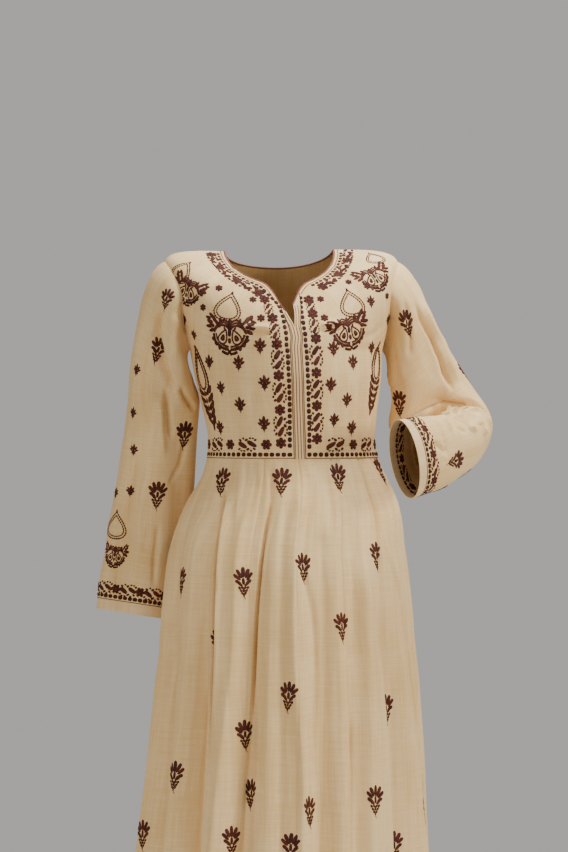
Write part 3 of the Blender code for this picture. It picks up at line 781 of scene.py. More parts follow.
class Tone(Enum):
    """Lightness of a stitch's thread."""

    DARK = 0.12
    MAIN = 0.32
    WARM = 0.62
    LIGHT = 0.95


@dataclass
class Motif:
    """Stitches laid out flat in millimetres: x, y, angle, length, width, taper, tone, height."""

    rows: list = field(default_factory=list)

    def leaf(
        self, x: float, y: float, angle: float, length: float, width: float, taper: float = 0.0,
        tone: Tone = Tone.MAIN, height: float = 0.75
    ) -> "Motif":
        """One domed stitch, oval or narrowed towards its tip."""
        self.rows.append((x, y, math.radians(angle), length, width, taper, tone.value, height))
        return self

    def line(self, points: tuple, width: float, tone: Tone = Tone.MAIN, stitch: float = 3.4) -> "Motif":
        """Row of small stitches along a smooth line.

        Args:
            points: Places the line passes.
            width: Width of a stitch.
            tone: Lightness of the thread.
            stitch: Length of a stitch.

        Returns:
            This motif.
        """
        run = np.array(points, float)
        keys = np.concatenate([[0.0], np.cumsum(np.linalg.norm(np.diff(run, axis=0), axis=1))])
        count = max(int(round(keys[-1] / stitch)), 1)
        ends = np.linspace(0.0, keys[-1], count + 1)
        xs, ys = (along(keys, axis, ends) for axis in run.T)
        for x0, y0, x1, y1 in zip(xs[:-1], ys[:-1], xs[1:], ys[1:]):
            length = math.hypot(x1 - x0, y1 - y0) * 1.25
            angle = math.degrees(math.atan2(x1 - x0, y1 - y0))
            self.leaf((x0 + x1) / 2, (y0 + y1) / 2, angle, length, width, 0.0, tone, 0.55)
        return self

    def add(
        self, other: "Motif", x: float = 0.0, y: float = 0.0, turn: float = 0.0, scale: float = 1.0,
        mirror: bool = False
    ) -> "Motif":
        """Take in another motif, turned and moved.

        Args:
            other: Motif to take in.
            x: Move to the right.
            y: Move upwards.
            turn: Degrees clockwise.
            scale: Size.
            mirror: Whether left and right are swapped.

        Returns:
            This motif.
        """
        angle, flip = math.radians(turn), -1.0 if mirror else 1.0
        for px, py, a, length, width, taper, tone, height in other.rows:
            px, a = px * flip, a * flip
            mx = px * math.cos(angle) + py * math.sin(angle)
            my = -px * math.sin(angle) + py * math.cos(angle)
            self.rows.append(
                (
                    x + mx * scale, y + my * scale, a + angle, length * scale, width * scale, taper, tone,
                    height
                )
            )
        return self


def both(motif: Motif, x: float, y: float, angle: float, *sizes: object) -> None:
    """A leaf and its mirror image.

    Args:
        motif: Motif that gets them.
        x: Middle, to the right.
        y: Middle, upwards.
        angle: Degrees from upwards.
        *sizes: Length, width and the rest of the leaf's values.
    """
    motif.leaf(x, y, angle, *sizes)
    motif.leaf(-x, y, -angle, *sizes)


def skirt_sprig() -> Motif:
    """Large flower of the skirt: a dense fan of touching petals, dotted rows and a curled stem.

    Returns:
        The motif, about 29 by 47 mm.
    """
    m = Motif()
    for angle, out, length, width in ((0, 15.8, 18.8, 7.0), (25, 15.2, 18.2, 6.8), (50, 13.6, 16.2, 6.4)):
        x, y = out * math.sin(math.radians(angle)), 1.0 + out * math.cos(math.radians(angle))
        if angle:
            both(m, x, y, angle, length, width, -0.2)
        else:
            m.leaf(x, y, angle, length, width, -0.2)
    both(m, 8.6, 1.6, 60, 13.0, 6.0, -0.2)
    both(m, 5.2, -2.2, 54, 9.6, 5.2, -0.1)
    m.leaf(0.0, 2.4, 0, 12.0, 5.4, 0.0, Tone.DARK)
    for y, xs in ((-7.6, (-7.0, -2.3, 2.3, 7.0)), (-12.2, (-4.6, 0.0, 4.6)), (-16.6, (-2.3, 2.3))):
        for x in xs:
            m.leaf(x, y, 42 if x > 0 else -42 if x < 0 else 0, 5.6, 4.4, 0.0, Tone.MAIN, 0.7)
    m.leaf(0.0, -20.2, 0, 4.2, 3.2)
    m.line(((0.0, -21.8), (0.6, -24.0), (2.8, -26.2)), 1.2, Tone.WARM)
    return m


def small_sprig() -> Motif:
    """Small sprig of the bodice: a tall petal, side petals touching it and a pointed base.

    Returns:
        The motif, about 20 by 27 mm.
    """
    m = Motif()
    m.leaf(0.0, 7.6, 0, 13.5, 6.4, 0.4)
    both(m, 5.2, 4.8, 32, 11.0, 5.2, 0.25)
    both(m, 7.4, 0.2, 60, 8.6, 4.8, 0.2)
    both(m, 3.6, -2.8, 42, 6.4, 4.0, 0.1)
    m.leaf(0.0, 0.0, 0, 8.0, 5.6, 0.0, Tone.DARK)
    m.leaf(0.0, -7.6, 180, 9.0, 6.8, 0.5)
    both(m, 3.6, -6.4, 140, 4.8, 3.0)
    m.line(((0.0, -11.4), (0.4, -14.2)), 1.5)
    return m


def bolder(motif: Motif, wide: float, long: float) -> Motif:
    """The same motif with wider and longer stitches.

    Args:
        motif: Motif to thicken.
        wide: Factor of the widths.
        long: Factor of the lengths.

    Returns:
        The thicker motif.
    """
    return Motif(
        [(x, y, a, length * long, width * wide, *rest) for x, y, a, length, width, *rest in motif.rows]
    )


def rosette(radius: float = 5.0, petals: int = 6) -> Motif:
    """Scalloped flower with a lighter heart.

    Args:
        radius: Distance of the petals' middles.
        petals: Number of petals.

    Returns:
        The motif.
    """
    m = Motif()
    for angle in np.arange(petals) * 360.0 / petals:
        x, y = radius * math.sin(math.radians(angle)), radius * math.cos(math.radians(angle))
        m.leaf(x, y, angle, radius * 1.22, radius * 1.12, 0.0)
    m.leaf(0, 0, 0, radius * 1.6, radius * 1.6, 0.0, Tone.DARK, 0.7)
    return m.leaf(0, 0, 0, radius * 0.6, radius * 0.6, 0.0, Tone.LIGHT, 0.95)


def vine_leaves(tilt: float) -> Motif:
    """Two slanted leaves and their buds, between two rosettes of a vine.

    Args:
        tilt: Slant in degrees.

    Returns:
        The motif, about 30 mm along the vine.
    """
    m = Motif()
    m.leaf(-1.0, 8.4, tilt, 19.5, 8.6, 0.12)
    m.leaf(1.0, -8.4, tilt, 19.5, 8.6, 0.12)
    for side in (1, -1):
        m.leaf(7.0 * side, 12.4 * side, tilt, 6.0, 4.2)
        m.leaf(7.6 * side, 1.2 * side, -tilt, 7.0, 4.8, 0.1)
        m.leaf(-7.4 * side, 14.6 * side, -tilt, 5.4, 3.8)
        m.leaf(10.0 * side, 6.6 * side, tilt, 4.8, 3.6)
        m.leaf(-10.4 * side, 5.4 * side, 0, 5.0, 3.2)
        m.leaf(-10.2 * side, 10.8 * side, 0, 4.6, 3.0)
    return m


def border_dot() -> Motif:
    """Round dot with a lighter seed.

    Returns:
        The motif, about 7 mm.
    """
    return Motif().leaf(0, 0, 0, 8.6, 7.4, 0.0, Tone.DARK, 0.85).leaf(0, 0, 0, 2.0, 1.8, 0.0, Tone.WARM, 1.05)


def teardrop_line(width: float, height: float, count: int, stitch: float, tone: Tone) -> Motif:
    """Dashed teardrop, tip up: x = w sin(t) sin(t/2)^1.4 / 2, y = h cos(t) / 2.

    Args:
        width: Width of the drop.
        height: Height of the drop.
        count: Number of dashes.
        stitch: Width of a dash.
        tone: Lightness of the thread.

    Returns:
        The motif.
    """
    m = Motif()
    t = np.linspace(0.0, TAU, 241)
    x = width / 1.52 * np.sin(t) * np.abs(np.sin(t / 2)) ** 1.4
    y = height / 2 * np.cos(t)
    run = np.concatenate([[0.0], np.cumsum(np.hypot(np.diff(x), np.diff(y)))])
    ends = np.linspace(0.0, run[-1], count + 1)
    xs, ys = np.interp(ends, run, x), np.interp(ends, run, y)
    for x0, y0, x1, y1 in zip(xs, ys, xs[1:], ys[1:]):
        angle = math.degrees(math.atan2(x1 - x0, y1 - y0))
        m.leaf(
            (x0 + x1) / 2, (y0 + y1) / 2, angle, math.hypot(x1 - x0, y1 - y0) * 1.04, stitch, 0.0, tone, 0.6
        )
    return m


def paisley(tilt: float) -> Motif:
    """Paisley leaning to the right: a dark heart, an open ring and an outline of seeds.

    Args:
        tilt: Lean in degrees.

    Returns:
        The motif, about 20 by 26 mm.
    """
    inner = Motif()
    inner.leaf(0.0, -2.0, 0, 9.5, 5.6, 0.35, Tone.DARK)
    inner.add(teardrop_line(15.5, 23.0, 17, 2.4, Tone.MAIN), 0.0, 0.0)
    inner.leaf(2.6, 11.4, 52, 6.4, 2.8, 0.3)
    inner.leaf(0.0, -2.0, 0, 3.0, 1.6, 0.0, Tone.LIGHT, 1.0)
    return Motif().add(inner, turn=tilt)


def bouquet() -> Motif:
    """Bouquet under a medallion: fanned leaves, two facing paisleys, a dark cup and a pointed foot.

    Returns:
        The motif, about 82 by 66 mm.
    """
    m = Motif()
    for mirror in (False, True):
        half = Motif()
        for x, y, angle, length, width in (
            (37.0, 21.5, 62, 12.0, 5.6), (39.5, 13.5, 88, 11.5, 5.4), (33.0, 15.5, 74, 10.0, 5.0),
            (29.0, 27.0, 30, 11.0, 5.6), (24.5, 21.5, 40, 10.0, 5.2), (35.5, 6.0, 108, 10.5, 5.0),
            (30.5, 8.0, 70, 9.0, 4.6), (17.0, 24.5, 16, 9.0, 4.6), (20.0, 17.0, 30, 9.0, 4.6),
            (34.0, 32.0, 44, 10.0, 5.0), (40.0, 28.0, 70, 9.0, 4.8),
        ):
            half.leaf(x, y, angle, length, width, 0.2)
        half.add(Motif().add(paisley(-24), scale=1.12), 11.5, -2.0)
        for lift, width, tone in ((0.0, 3.4, Tone.MAIN), (4.6, 3.0, Tone.WARM), (9.2, 2.8, Tone.MAIN)):
            half.line(
                ((2.0, 12.0 + lift), (10.0, 16.5 + lift), (21.0, 14.0 + lift / 2), (30.0, 4.0 + lift / 3)),
                width, tone
            )
        half.line(((32.0, 1.0), (28.5, -9.0), (21.0, -17.5), (12.0, -22.0), (2.0, -24.0)), 4.6, Tone.DARK)
        half.line(((26.5, 2.0), (23.5, -7.0), (17.0, -14.0), (8.0, -18.0), (2.0, -19.0)), 3.2, Tone.MAIN)
        half.line(((14.5, -27.0), (8.0, -30.0), (1.5, -31.0)), 4.2, Tone.DARK)
        for x, y, angle in ((31.5, -7.5, 150), (26.5, -15.0, 138), (19.5, -21.5, 122)):
            half.leaf(x, y, angle + 70, 7.6, 4.6, 0.1)
        m.add(half, mirror=mirror)
    m.leaf(0.0, 18.0, 0, 18.0, 6.6, 0.3)
    m.leaf(0.0, 4.0, 0, 11.0, 5.2, 0.0, Tone.DARK)
    m.leaf(0.0, -9.0, 0, 9.0, 4.6, 0.0)
    m.leaf(0.0, -27.5, 180, 6.0, 4.6, 0.2, Tone.DARK)
    return m


def medallion() -> Motif:
    """Plain teardrop with a double dashed line, a bud at its tip and seeds round its foot.

    Returns:
        The motif, about 44 by 46 mm.
    """
    m = Motif()
    m.add(teardrop_line(49.0, 50.0, 32, 3.2, Tone.MAIN))
    m.add(teardrop_line(39.0, 39.0, 26, 2.8, Tone.MAIN), 0.0, -1.2)
    m.leaf(0.0, 26.5, 0, 5.4, 4.0, 0.3)
    return m


def side_spray() -> Motif:
    """Tall spray beside the waist: a slim drop over a stack of leaves.

    Returns:
        The motif, about 40 by 120 mm.
    """
    m = Motif()
    m.add(teardrop_line(32.0, 66.0, 30, 3.4, Tone.MAIN), 0.0, 30.0)
    m.add(teardrop_line(21.0, 49.0, 24, 2.8, Tone.MAIN), 0.0, 28.0)
    for y, out in ((2.0, 14.0), (-8.0, 13.5), (-18.0, 11.5), (-28.0, 9.0), (-38.0, 6.5)):
        both(m, out, y, 42, 13.0, 5.0, 0.4)
        both(m, out * 0.5, y - 3.0, 28, 9.0, 4.2, 0.3, Tone.DARK)
        m.leaf(0.0, y - 4.0, 0, 7.6, 3.6, 0.2, Tone.WARM)
    m.leaf(0.0, -48.0, 180, 10.0, 4.6, 0.4)
    return m


class Embroidery:
    """Raised stitches gathered for one sheet and laid on it together."""

    def __init__(self, sheet: Sheet) -> None:
        """Start with no stitches.

        Args:
            sheet: Cloth they lie on.
        """
        self.sheet = sheet
        self.rows: list = []
        self.spots: list = []
        self.ups: list = []

    def stamp(
        self, motif: Motif, spot: np.ndarray, up: np.ndarray, scale: float = 1.0, tilt: float = 0.0
    ) -> None:
        """Lay a motif on the cloth.

        Args:
            motif: Motif in millimetres.
            spot: Grid place of its middle.
            up: Direction of its top.
            scale: Size.
            tilt: Degrees clockwise.
        """
        laid = Motif().add(motif, turn=tilt, scale=scale).rows
        self.rows += laid
        self.spots += [np.array(spot, float)] * len(laid)
        self.ups += [np.array(up, float)] * len(laid)

    def follow(
        self, motifs: list, path: "Path", pitch: float, phase: float = 0.0,
        stop: float = 0.0
    ) -> None:
        """Lay motifs along a path in turn, their tops along it.

        Args:
            motifs: Motifs taken in turn.
            path: Path on the same cloth.
            pitch: Metres from one to the next.
            phase: Metres to the first.
            stop: Metres left free at the path's end.
        """
        for number, length in enumerate(np.arange(phase, path.length[-1] - stop, pitch)):
            spot, up = path.at(length)
            self.stamp(motifs[number % len(motifs)], spot, up)

    def build(
        self, name: str, material: bpy.types.Material, slot: str, seed: int = 3
    ) -> bpy.types.Object | None:
        """Walk every point of every stitch out from its motif's middle and raise it.

        Args:
            name: Name of the piece.
            material: Finish of the thread.
            slot: Not used.
            seed: Fixed seed of the small differences between stitches.

        Returns:
            The piece, or None without stitches.
        """
        if not self.rows:
            return None
        rng = np.random.default_rng(seed)
        table = np.array(self.rows)
        x, y, angle, length, width, taper, tone, height = (table[:, k : k + 1] for k in range(8))
        angle = angle + rng.normal(0.0, 0.05, angle.shape)
        length = length * rng.uniform(0.93, 1.07, length.shape)
        width = width * rng.uniform(0.92, 1.08, width.shape)
        ahead = DOME_ALONG[None, :]
        narrow = 1 - taper * ahead - 0.35 * np.abs(taper) * ahead ** 2
        run = ahead * length / 2
        side = DOME_ACROSS[None, :] * width / 2 * narrow
        right = x + run * np.sin(angle) + side * np.cos(angle)
        up = y + run * np.cos(angle) - side * np.sin(angle)
        offsets = np.stack([right, up], axis=-1) / 1000.0
        count = len(table)
        spots = np.repeat(np.array(self.spots)[:, None], DOME_ALONG.size, axis=1)
        ups = np.repeat(np.array(self.ups)[:, None], DOME_ALONG.size, axis=1)
        reached = self.sheet.walk(spots, ups, offsets)
        lift = DOME_RISE[None, :] * height / 1000.0
        points = self.sheet.read(self.sheet.points, reached) + unit(
            self.sheet.read(self.sheet.normals, reached)
        ) * lift[..., None]
        faces = (DOME_FACES[None] + (np.arange(count) * DOME_ALONG.size)[:, None, None]).reshape(-1, 3)
        mesh = make_mesh(name, points.reshape(-1, 3), faces)
        lengths = np.stack(np.broadcast_arrays(side, run), axis=-1).reshape(-1, 2) / 1000.0
        set_uv(mesh, lengths[faces].reshape(-1, 2))
        tones = np.repeat(tone[:, 0] + rng.normal(0.0, 0.10, count), DOME_ALONG.size)
        mesh.attributes.new("tone", "FLOAT", "POINT").data.foreach_set("value", tones.astype(np.float32))
        return dress(mesh, material)


class Path:
    """Run of grid places on a sheet, with its lengths."""

    def __init__(self, sheet: Sheet, spots: np.ndarray) -> None:
        """Measure the run.

        Args:
            sheet: Cloth it lies on.
            spots: Grid places in order.
        """
        self.sheet = sheet
        self.spots = np.array(spots, float)
        self.points = sheet.read(sheet.points, self.spots)
        self.length = np.concatenate([[0.0], np.cumsum(np.linalg.norm(np.diff(self.points, axis=0), axis=1))])
        self.heading = unit(np.gradient(self.points, axis=0))

    def moved(self, offset: float) -> "Path":
        """The same run, moved over the cloth to its right as seen from outside."""
        offsets = np.tile([offset, 0.0], (len(self.spots), 1))
        return Path(self.sheet, self.sheet.walk(self.spots, self.heading, offsets))

    def between(self, low: float, high: float) -> "Path":
        """Part of the run between two shares of its length."""
        lengths = np.linspace(low, high, 80) * self.length[-1]
        return Path(
            self.sheet,
            np.stack([np.interp(lengths, self.length, self.spots[:, k]) for k in (0, 1)], axis=-1)
        )

    def at(self, length: float) -> tuple:
        """Grid place and direction at a length."""
        spot = np.array([np.interp(length, self.length, self.spots[:, k]) for k in (0, 1)])
        return spot, np.array([np.interp(length, self.length, self.heading[:, k]) for k in range(3)])


def ribbons(
    name: str, paths: list, width: float, height: float, material: bpy.types.Material
) -> bpy.types.Object:
    """Narrow raised cords along paths, domed in section.

    Args:
        name: Name of the piece.
        paths: Paths on one sheet.
        width: Width in metres.
        height: Height in metres.
        material: Finish.

    Returns:
        The piece.
    """
    shares = np.array([-0.5, -0.34, 0.0, 0.34, 0.5])
    rises = np.array([-0.35, 0.75, 1.0, 0.75, -0.35])
    points, faces, lengths, start = [], [], [], 0
    for path in paths:
        count = len(path.spots)
        spots = np.repeat(path.spots[:, None], 5, axis=1)
        ups = np.repeat(path.heading[:, None], 5, axis=1)
        offsets = np.zeros((count, 5, 2))
        offsets[..., 0] = shares * width
        reached = path.sheet.walk(spots, ups, offsets, steps=2)
        normals = unit(path.sheet.read(path.sheet.normals, reached))
        points.append(
            (
                path.sheet.read(path.sheet.points, reached) + normals * (rises * height)[None, :, None]
            ).reshape(-1, 3)
        )
        ids = np.arange(count * 5).reshape(count, 5) + start
        faces.append(
            np.stack(
                [ids[:-1, :-1], ids[:-1, 1:], ids[1:, 1:], ids[1:, :-1]], axis=-1
            ).reshape(-1, 4)[:, ::-1]
        )
        lengths.append(
            np.stack(np.broadcast_arrays(shares[None] * width, path.length[:, None]), axis=-1).reshape(-1, 2)
        )
        start += count * 5
    mesh = make_mesh(name, np.concatenate(points), np.concatenate(faces))
    corners = np.concatenate(lengths)[np.concatenate(faces)].reshape(-1, 2)
    set_uv(mesh, corners)
    mesh.attributes.new("tone", "FLOAT", "POINT").data.foreach_set(
        "value", np.full(len(mesh.vertices), 0.45, np.float32)
    )
    return dress(mesh, material)


def ring_value(column: int, drop: np.ndarray) -> np.ndarray:
    """One column of the ring table at any drop.

    Args:
        column: Column number.
        drop: Metres below the shoulders.

    Returns:
        The values.
    """
    return along(RINGS[:, 0], RINGS[:, column], drop)


def trunk(theta: np.ndarray, drop: np.ndarray) -> np.ndarray:
    """Plain ring of trunk or skirt: x = shift + half width sin, y = -reach cos, z = -drop.

    Args:
        theta: Angle from centre front.
        drop: Metres below the shoulders.

    Returns:
        Points.
    """
    reach = np.where(np.cos(theta) > 0, ring_value(FRONT, drop), ring_value(BACK, drop))
    x = ring_value(SHIFT, drop) + ring_value(HALF_WIDTH, drop) * np.sin(theta)
    return np.stack(np.broadcast_arrays(x, -reach * np.cos(theta), -drop), axis=-1)


@dataclass(frozen=True)
class BodiceForm:
    """Form of the bodice from the waist seam to the neck edge."""

    armpit_drop: float = 0.165
    waist_drop: float = 0.346
    neck_half_width: float = 0.094
    neck_shift: float = -0.004
    neck_front: tuple = (0.082, 0.062)
    neck_back: tuple = (0.058, 0.024)
    shoulder_half_width: float = 0.219
    shoulder_lift: float = 0.003
    left_raise: float = 0.005
    shoulder_weight: float = 3.0
    chest: tuple = (0.128, 0.105)
    blade: tuple = (0.112, 0.085)
    armhole_top: float = 0.50
    roundness: float = 1.3
    ease: float = 0.14
    front_dip: float = math.radians(25.0)
    back_dip: float = math.radians(21.0)
    strip_width: float = 0.0085
    slit_start: float = 0.42
    slit_opening: tuple = (0.0045, 0.0075)
    splay: tuple = (0.6, 1.35)
    corner_drop: float = 0.046
    corner_spread: float = math.radians(12.5)
    corner_reach: float = 0.7
    chest_follow: float = 0.5
    centre_turn: float = math.radians(1.7)
    centre_drift: float = math.radians(-2.5)

    def droop(self, theta: np.ndarray) -> np.ndarray:
        """How much lower the neck edge hangs beside the slit: drop * exp(-(angle / spread)^2)."""
        turned = np.arctan2(np.sin(theta), np.cos(theta))
        return self.corner_drop * np.exp(-((turned / self.corner_spread) ** 2))

    def raised(self, theta: np.ndarray) -> np.ndarray:
        """Height that the bent arm adds to the left shoulder: raise * max(sin, 0)^2."""
        return self.left_raise * np.clip(np.sin(theta), 0.0, 1.0) ** 2

    def neckline(self, theta: np.ndarray) -> np.ndarray:
        """Neck edge: an ellipse that dips in front and hangs lower towards the slit.

        Args:
            theta: Angle from centre front.

        Returns:
            Points.
        """
        front = np.cos(theta) > 0
        reach = np.where(front, self.neck_front[0], self.neck_back[0])
        fall = np.where(front, self.neck_front[1], self.neck_back[1])
        corner = self.droop(theta)
        x = self.neck_shift + self.neck_half_width * np.sin(theta)
        y = -reach * np.cos(theta) - self.corner_reach * corner
        return np.stack([x, y, -fall * np.abs(np.cos(theta)) - corner + self.raised(theta)], axis=-1)

    def control(self, theta: np.ndarray) -> np.ndarray:
        """Control ring that draws the cloth out over chest, blades and shoulders.

        Args:
            theta: Angle from centre front.

        Returns:
            Points.
        """
        front = np.cos(theta) > 0
        reach = np.where(front, self.chest[0], self.blade[0])
        fall = np.where(front, self.chest[1], self.blade[1])
        z = self.shoulder_lift - (fall + self.shoulder_lift) * np.cos(theta) ** 2 + self.raised(theta)
        z = z - self.chest_follow * self.droop(theta)
        return np.stack([self.shoulder_half_width * np.sin(theta), -reach * np.cos(theta), z], axis=-1)

    def points(self, theta: np.ndarray, level: np.ndarray) -> np.ndarray:
        """Cloth at an angle and level: metres under the armpit below 0, a weighted quadratic above.

        Args:
            theta: Angle from centre front.
            level: Below 0 metres under the armpit, 0 to 1 from armpit to neck.

        Returns:
            Points.
        """
        theta, level = np.broadcast_arrays(np.asarray(theta, float), np.asarray(level, float))
        below = trunk(theta, self.armpit_drop - np.minimum(level, 0.0))
        rise = np.clip(level, 0.0, 1.0)
        weight = 1.0 + (self.shoulder_weight - 1.0) * np.sin(theta) ** 4
        low, high = ((1 - rise) ** 2)[..., None], (rise ** 2)[..., None]
        middle = (2 * weight * rise * (1 - rise))[..., None]
        armpit = trunk(theta, np.full_like(theta, self.armpit_drop))
        above = (
            low * armpit + middle * self.control(theta) + high * self.neckline(theta)
        ) / (low + middle + high)
        return np.where((level < 0)[..., None], below, above)

    def turns(self, columns: int) -> np.ndarray:
        """Angles round the armhole, spaced wider at the tip and the armpit."""
        even = np.linspace(0.0, TAU, columns, endpoint=False)
        return even + self.ease * np.sin(2 * even)

    def armhole(self, side: int, turn: np.ndarray) -> np.ndarray:
        """Armhole edge, from the shoulder tip down the front and round.

        Args:
            side: 1 for the left, -1 for the right.
            turn: Angles round the armhole.

        Returns:
            Points.
        """
        level = self.armhole_top * (1 + np.cos(turn)) / 2
        dip = np.where(np.sin(turn) > 0, self.front_dip, -self.back_dip)
        return self.points(side * (math.pi / 2 - dip * np.abs(np.sin(turn)) ** self.roundness), level)

    def dip(self, level: np.ndarray, most: float) -> np.ndarray:
        """Angle by which the armhole cuts into a panel: most * (1 - spot^2)^(roundness / 2)."""
        spot = np.clip(2 * level / self.armhole_top - 1, -1.0, 1.0)
        return np.where(level > 0, most * (1 - spot * spot) ** (self.roundness / 2), 0.0)

    def strip(self, level: np.ndarray, side: int) -> tuple:
        """Inner and outer edges of a slit strip, from its width in metres.

        Args:
            level: Level of each row.
            side: 1 for the left, -1 for the right.

        Returns:
            Inner and outer angles.
        """
        which = int(side > 0)
        centre = self.centre_turn + self.centre_drift * smoothstep(
            0.3, self.armpit_drop - self.waist_drop, level
        )
        metres = (self.points(centre + 0.01, level) - self.points(centre - 0.01, level))[..., 0] / 0.02
        opening = self.slit_opening[which] * smoothstep(self.slit_start, 1.0, level)
        outer = self.strip_width + self.splay[which] * opening
        return centre + side * opening / metres, centre + side * outer / metres

    def levels(self, lower: int, armhole: int, shoulder: int) -> np.ndarray:
        """Levels of the rows from the waist seam to the neck.

        Args:
            lower: Rows under the armpit.
            armhole: Rows beside the armhole.
            shoulder: Rows over it.

        Returns:
            Levels.
        """
        turn = self.turns(2 * armhole)[1 : armhole + 1]
        return np.concatenate([
            np.linspace(self.armpit_drop - self.waist_drop, 0.0, lower + 1),
            self.armhole_top * (1 - np.cos(turn)) / 2,
            np.linspace(self.armhole_top, 1.0, shoulder + 1)[1:],
        ])


@dataclass(frozen=True)
class SkirtForm:
    """Form of the gathered skirt, from the waist seam to the hem."""

    waist_drop: float = 0.346
    hem_drop: float = 1.320
    kalis: int = 16
    offset: float = math.radians(-2.2)
    cells: int = 52
    rows: int = 116

    def folded(self, theta: np.ndarray, drop: np.ndarray) -> np.ndarray:
        """Skirt with its main folds: radius + height * growth * exp(-(away / width)^2) of each.

        Args:
            theta: Angle from centre front.
            drop: Metres below the shoulders.

        Returns:
            Points.
        """
        base = trunk(theta, drop)
        middle = np.stack([ring_value(SHIFT, drop), np.zeros_like(drop), -drop], axis=-1)
        radius = np.linalg.norm(base - middle, axis=-1)
        share = (drop - self.waist_drop) / (self.hem_drop - self.waist_drop)
        push = np.zeros_like(theta)
        for waist, hem, start, width, height in FOLDS:
            line = np.radians(waist + (hem - waist) * share)
            away = np.arctan2(np.sin(theta - line), np.cos(theta - line)) * radius
            growth = np.clip((share - start) / (1 - start), 0.0, 1.0) ** 0.65
            push += height * growth * np.exp(-((away / width) ** 2))
        return middle + (base - middle) * (1 + push / radius)[..., None]

    def grid(self) -> tuple:
        """Angles and drops of the dense grid, columns closer together beside the kali seams.

        Returns:
            Angles of the columns and drops of the rows, hem first.
        """
        share = np.arange(self.cells) / self.cells
        share = share - 0.11 * np.sin(TAU * share)
        width = TAU / self.kalis
        theta = (self.offset + (np.arange(self.kalis)[:, None] + share[None]) * width).ravel()
        fall = np.linspace(1.0, 0.0, self.rows + 1) ** 1.25
        return theta, self.waist_drop + (self.hem_drop - self.waist_drop) * fall

    def small_folds(self, theta: np.ndarray, drop: np.ndarray, radius: np.ndarray) -> np.ndarray:
        """Push of pleats, gathers, seams and the cloth's own unevenness.

        Args:
            theta: Angle from centre front.
            drop: Metres below the shoulders.
            radius: Distance from the middle of the ring.

        Returns:
            Metres outwards.
        """
        push = np.zeros_like(theta)
        for kind, width, height, places in PLEATS:
            degrees, heights = np.array(places).T
            line = np.radians(along(-heights, degrees, drop))
            away = np.arctan2(np.sin(theta - line), np.cos(theta - line)) * radius / width
            fade = smoothstep(-heights[0] - 0.002, -heights[0] + 0.06, drop)
            if -heights[-1] < 1.3:
                fade = fade * smoothstep(-heights[-1], -heights[-1] - 0.14, drop)
            shape = np.exp(-(away ** 2))
            if kind == "step":
                shape = smoothstep(-0.30, 0.30, away) * np.exp(-np.maximum(away, 0.0) * 0.75)
            push += PLEAT_DEPTH * height * fade * shape
        below = drop - self.waist_drop
        for half in (0, 1):
            for degree, drift, length, height in GATHERS:
                share = np.clip(below / length, 0.0, 1.0)
                line = np.radians(
                    (180 - degree - 2 if half else degree) + (-drift if half else drift) * share
                )
                away = np.arctan2(np.sin(theta - line), np.cos(theta - line)) * radius / 0.0030
                fade = smoothstep(0.0, 0.007, below) * (1 - share * share * (3 - 2 * share))
                push += GATHER_DEPTH * height / 1000 * fade * np.exp(-(away ** 2))
        seam = np.mod(theta - self.offset + TAU / self.kalis / 2, TAU / self.kalis) - TAU / self.kalis / 2
        push -= 0.0010 * np.exp(-((seam * radius / 0.0017) ** 2))
        fall, turn = below / (self.hem_drop - self.waist_drop), np.mod(theta / TAU, 1.0)
        uneven = 0.0014 * soft_noise(fall, turn, (7, 46), 5) + 0.0006 * soft_noise(fall, turn, (26, 90), 8)
        uneven = uneven + 0.0013 * soft_noise(fall, turn, (3, 150), 9)
        return push + uneven * smoothstep(0.0, 0.05, below)

    def sheet(self) -> Sheet:
        """The whole skirt as one ring of cloth.

        Returns:
            The sheet, hem first.
        """
        angles, drops = self.grid()
        theta, drop = np.meshgrid(angles, drops)
        points = self.folded(theta, drop)
        middle = np.stack([ring_value(SHIFT, drop), np.zeros_like(drop), -drop], axis=-1)
        radius = np.linalg.norm(points - middle, axis=-1)
        push = self.small_folds(theta, drop, radius)
        return Sheet(middle + (points - middle) * (1 + push / radius)[..., None], wrap=True)

    def spot(self, degrees: float, z: float) -> tuple:
        """Grid place at an angle and height.

        Args:
            degrees: Angle from centre front.
            z: Height.

        Returns:
            Row and column.
        """
        angles, drops = self.grid()
        theta = np.mod(math.radians(degrees) - self.offset, TAU) + self.offset
        column = np.interp(theta, np.append(angles, angles[0] + TAU), np.arange(angles.size + 1))
        return np.interp(z, -drops, np.arange(drops.size)), column


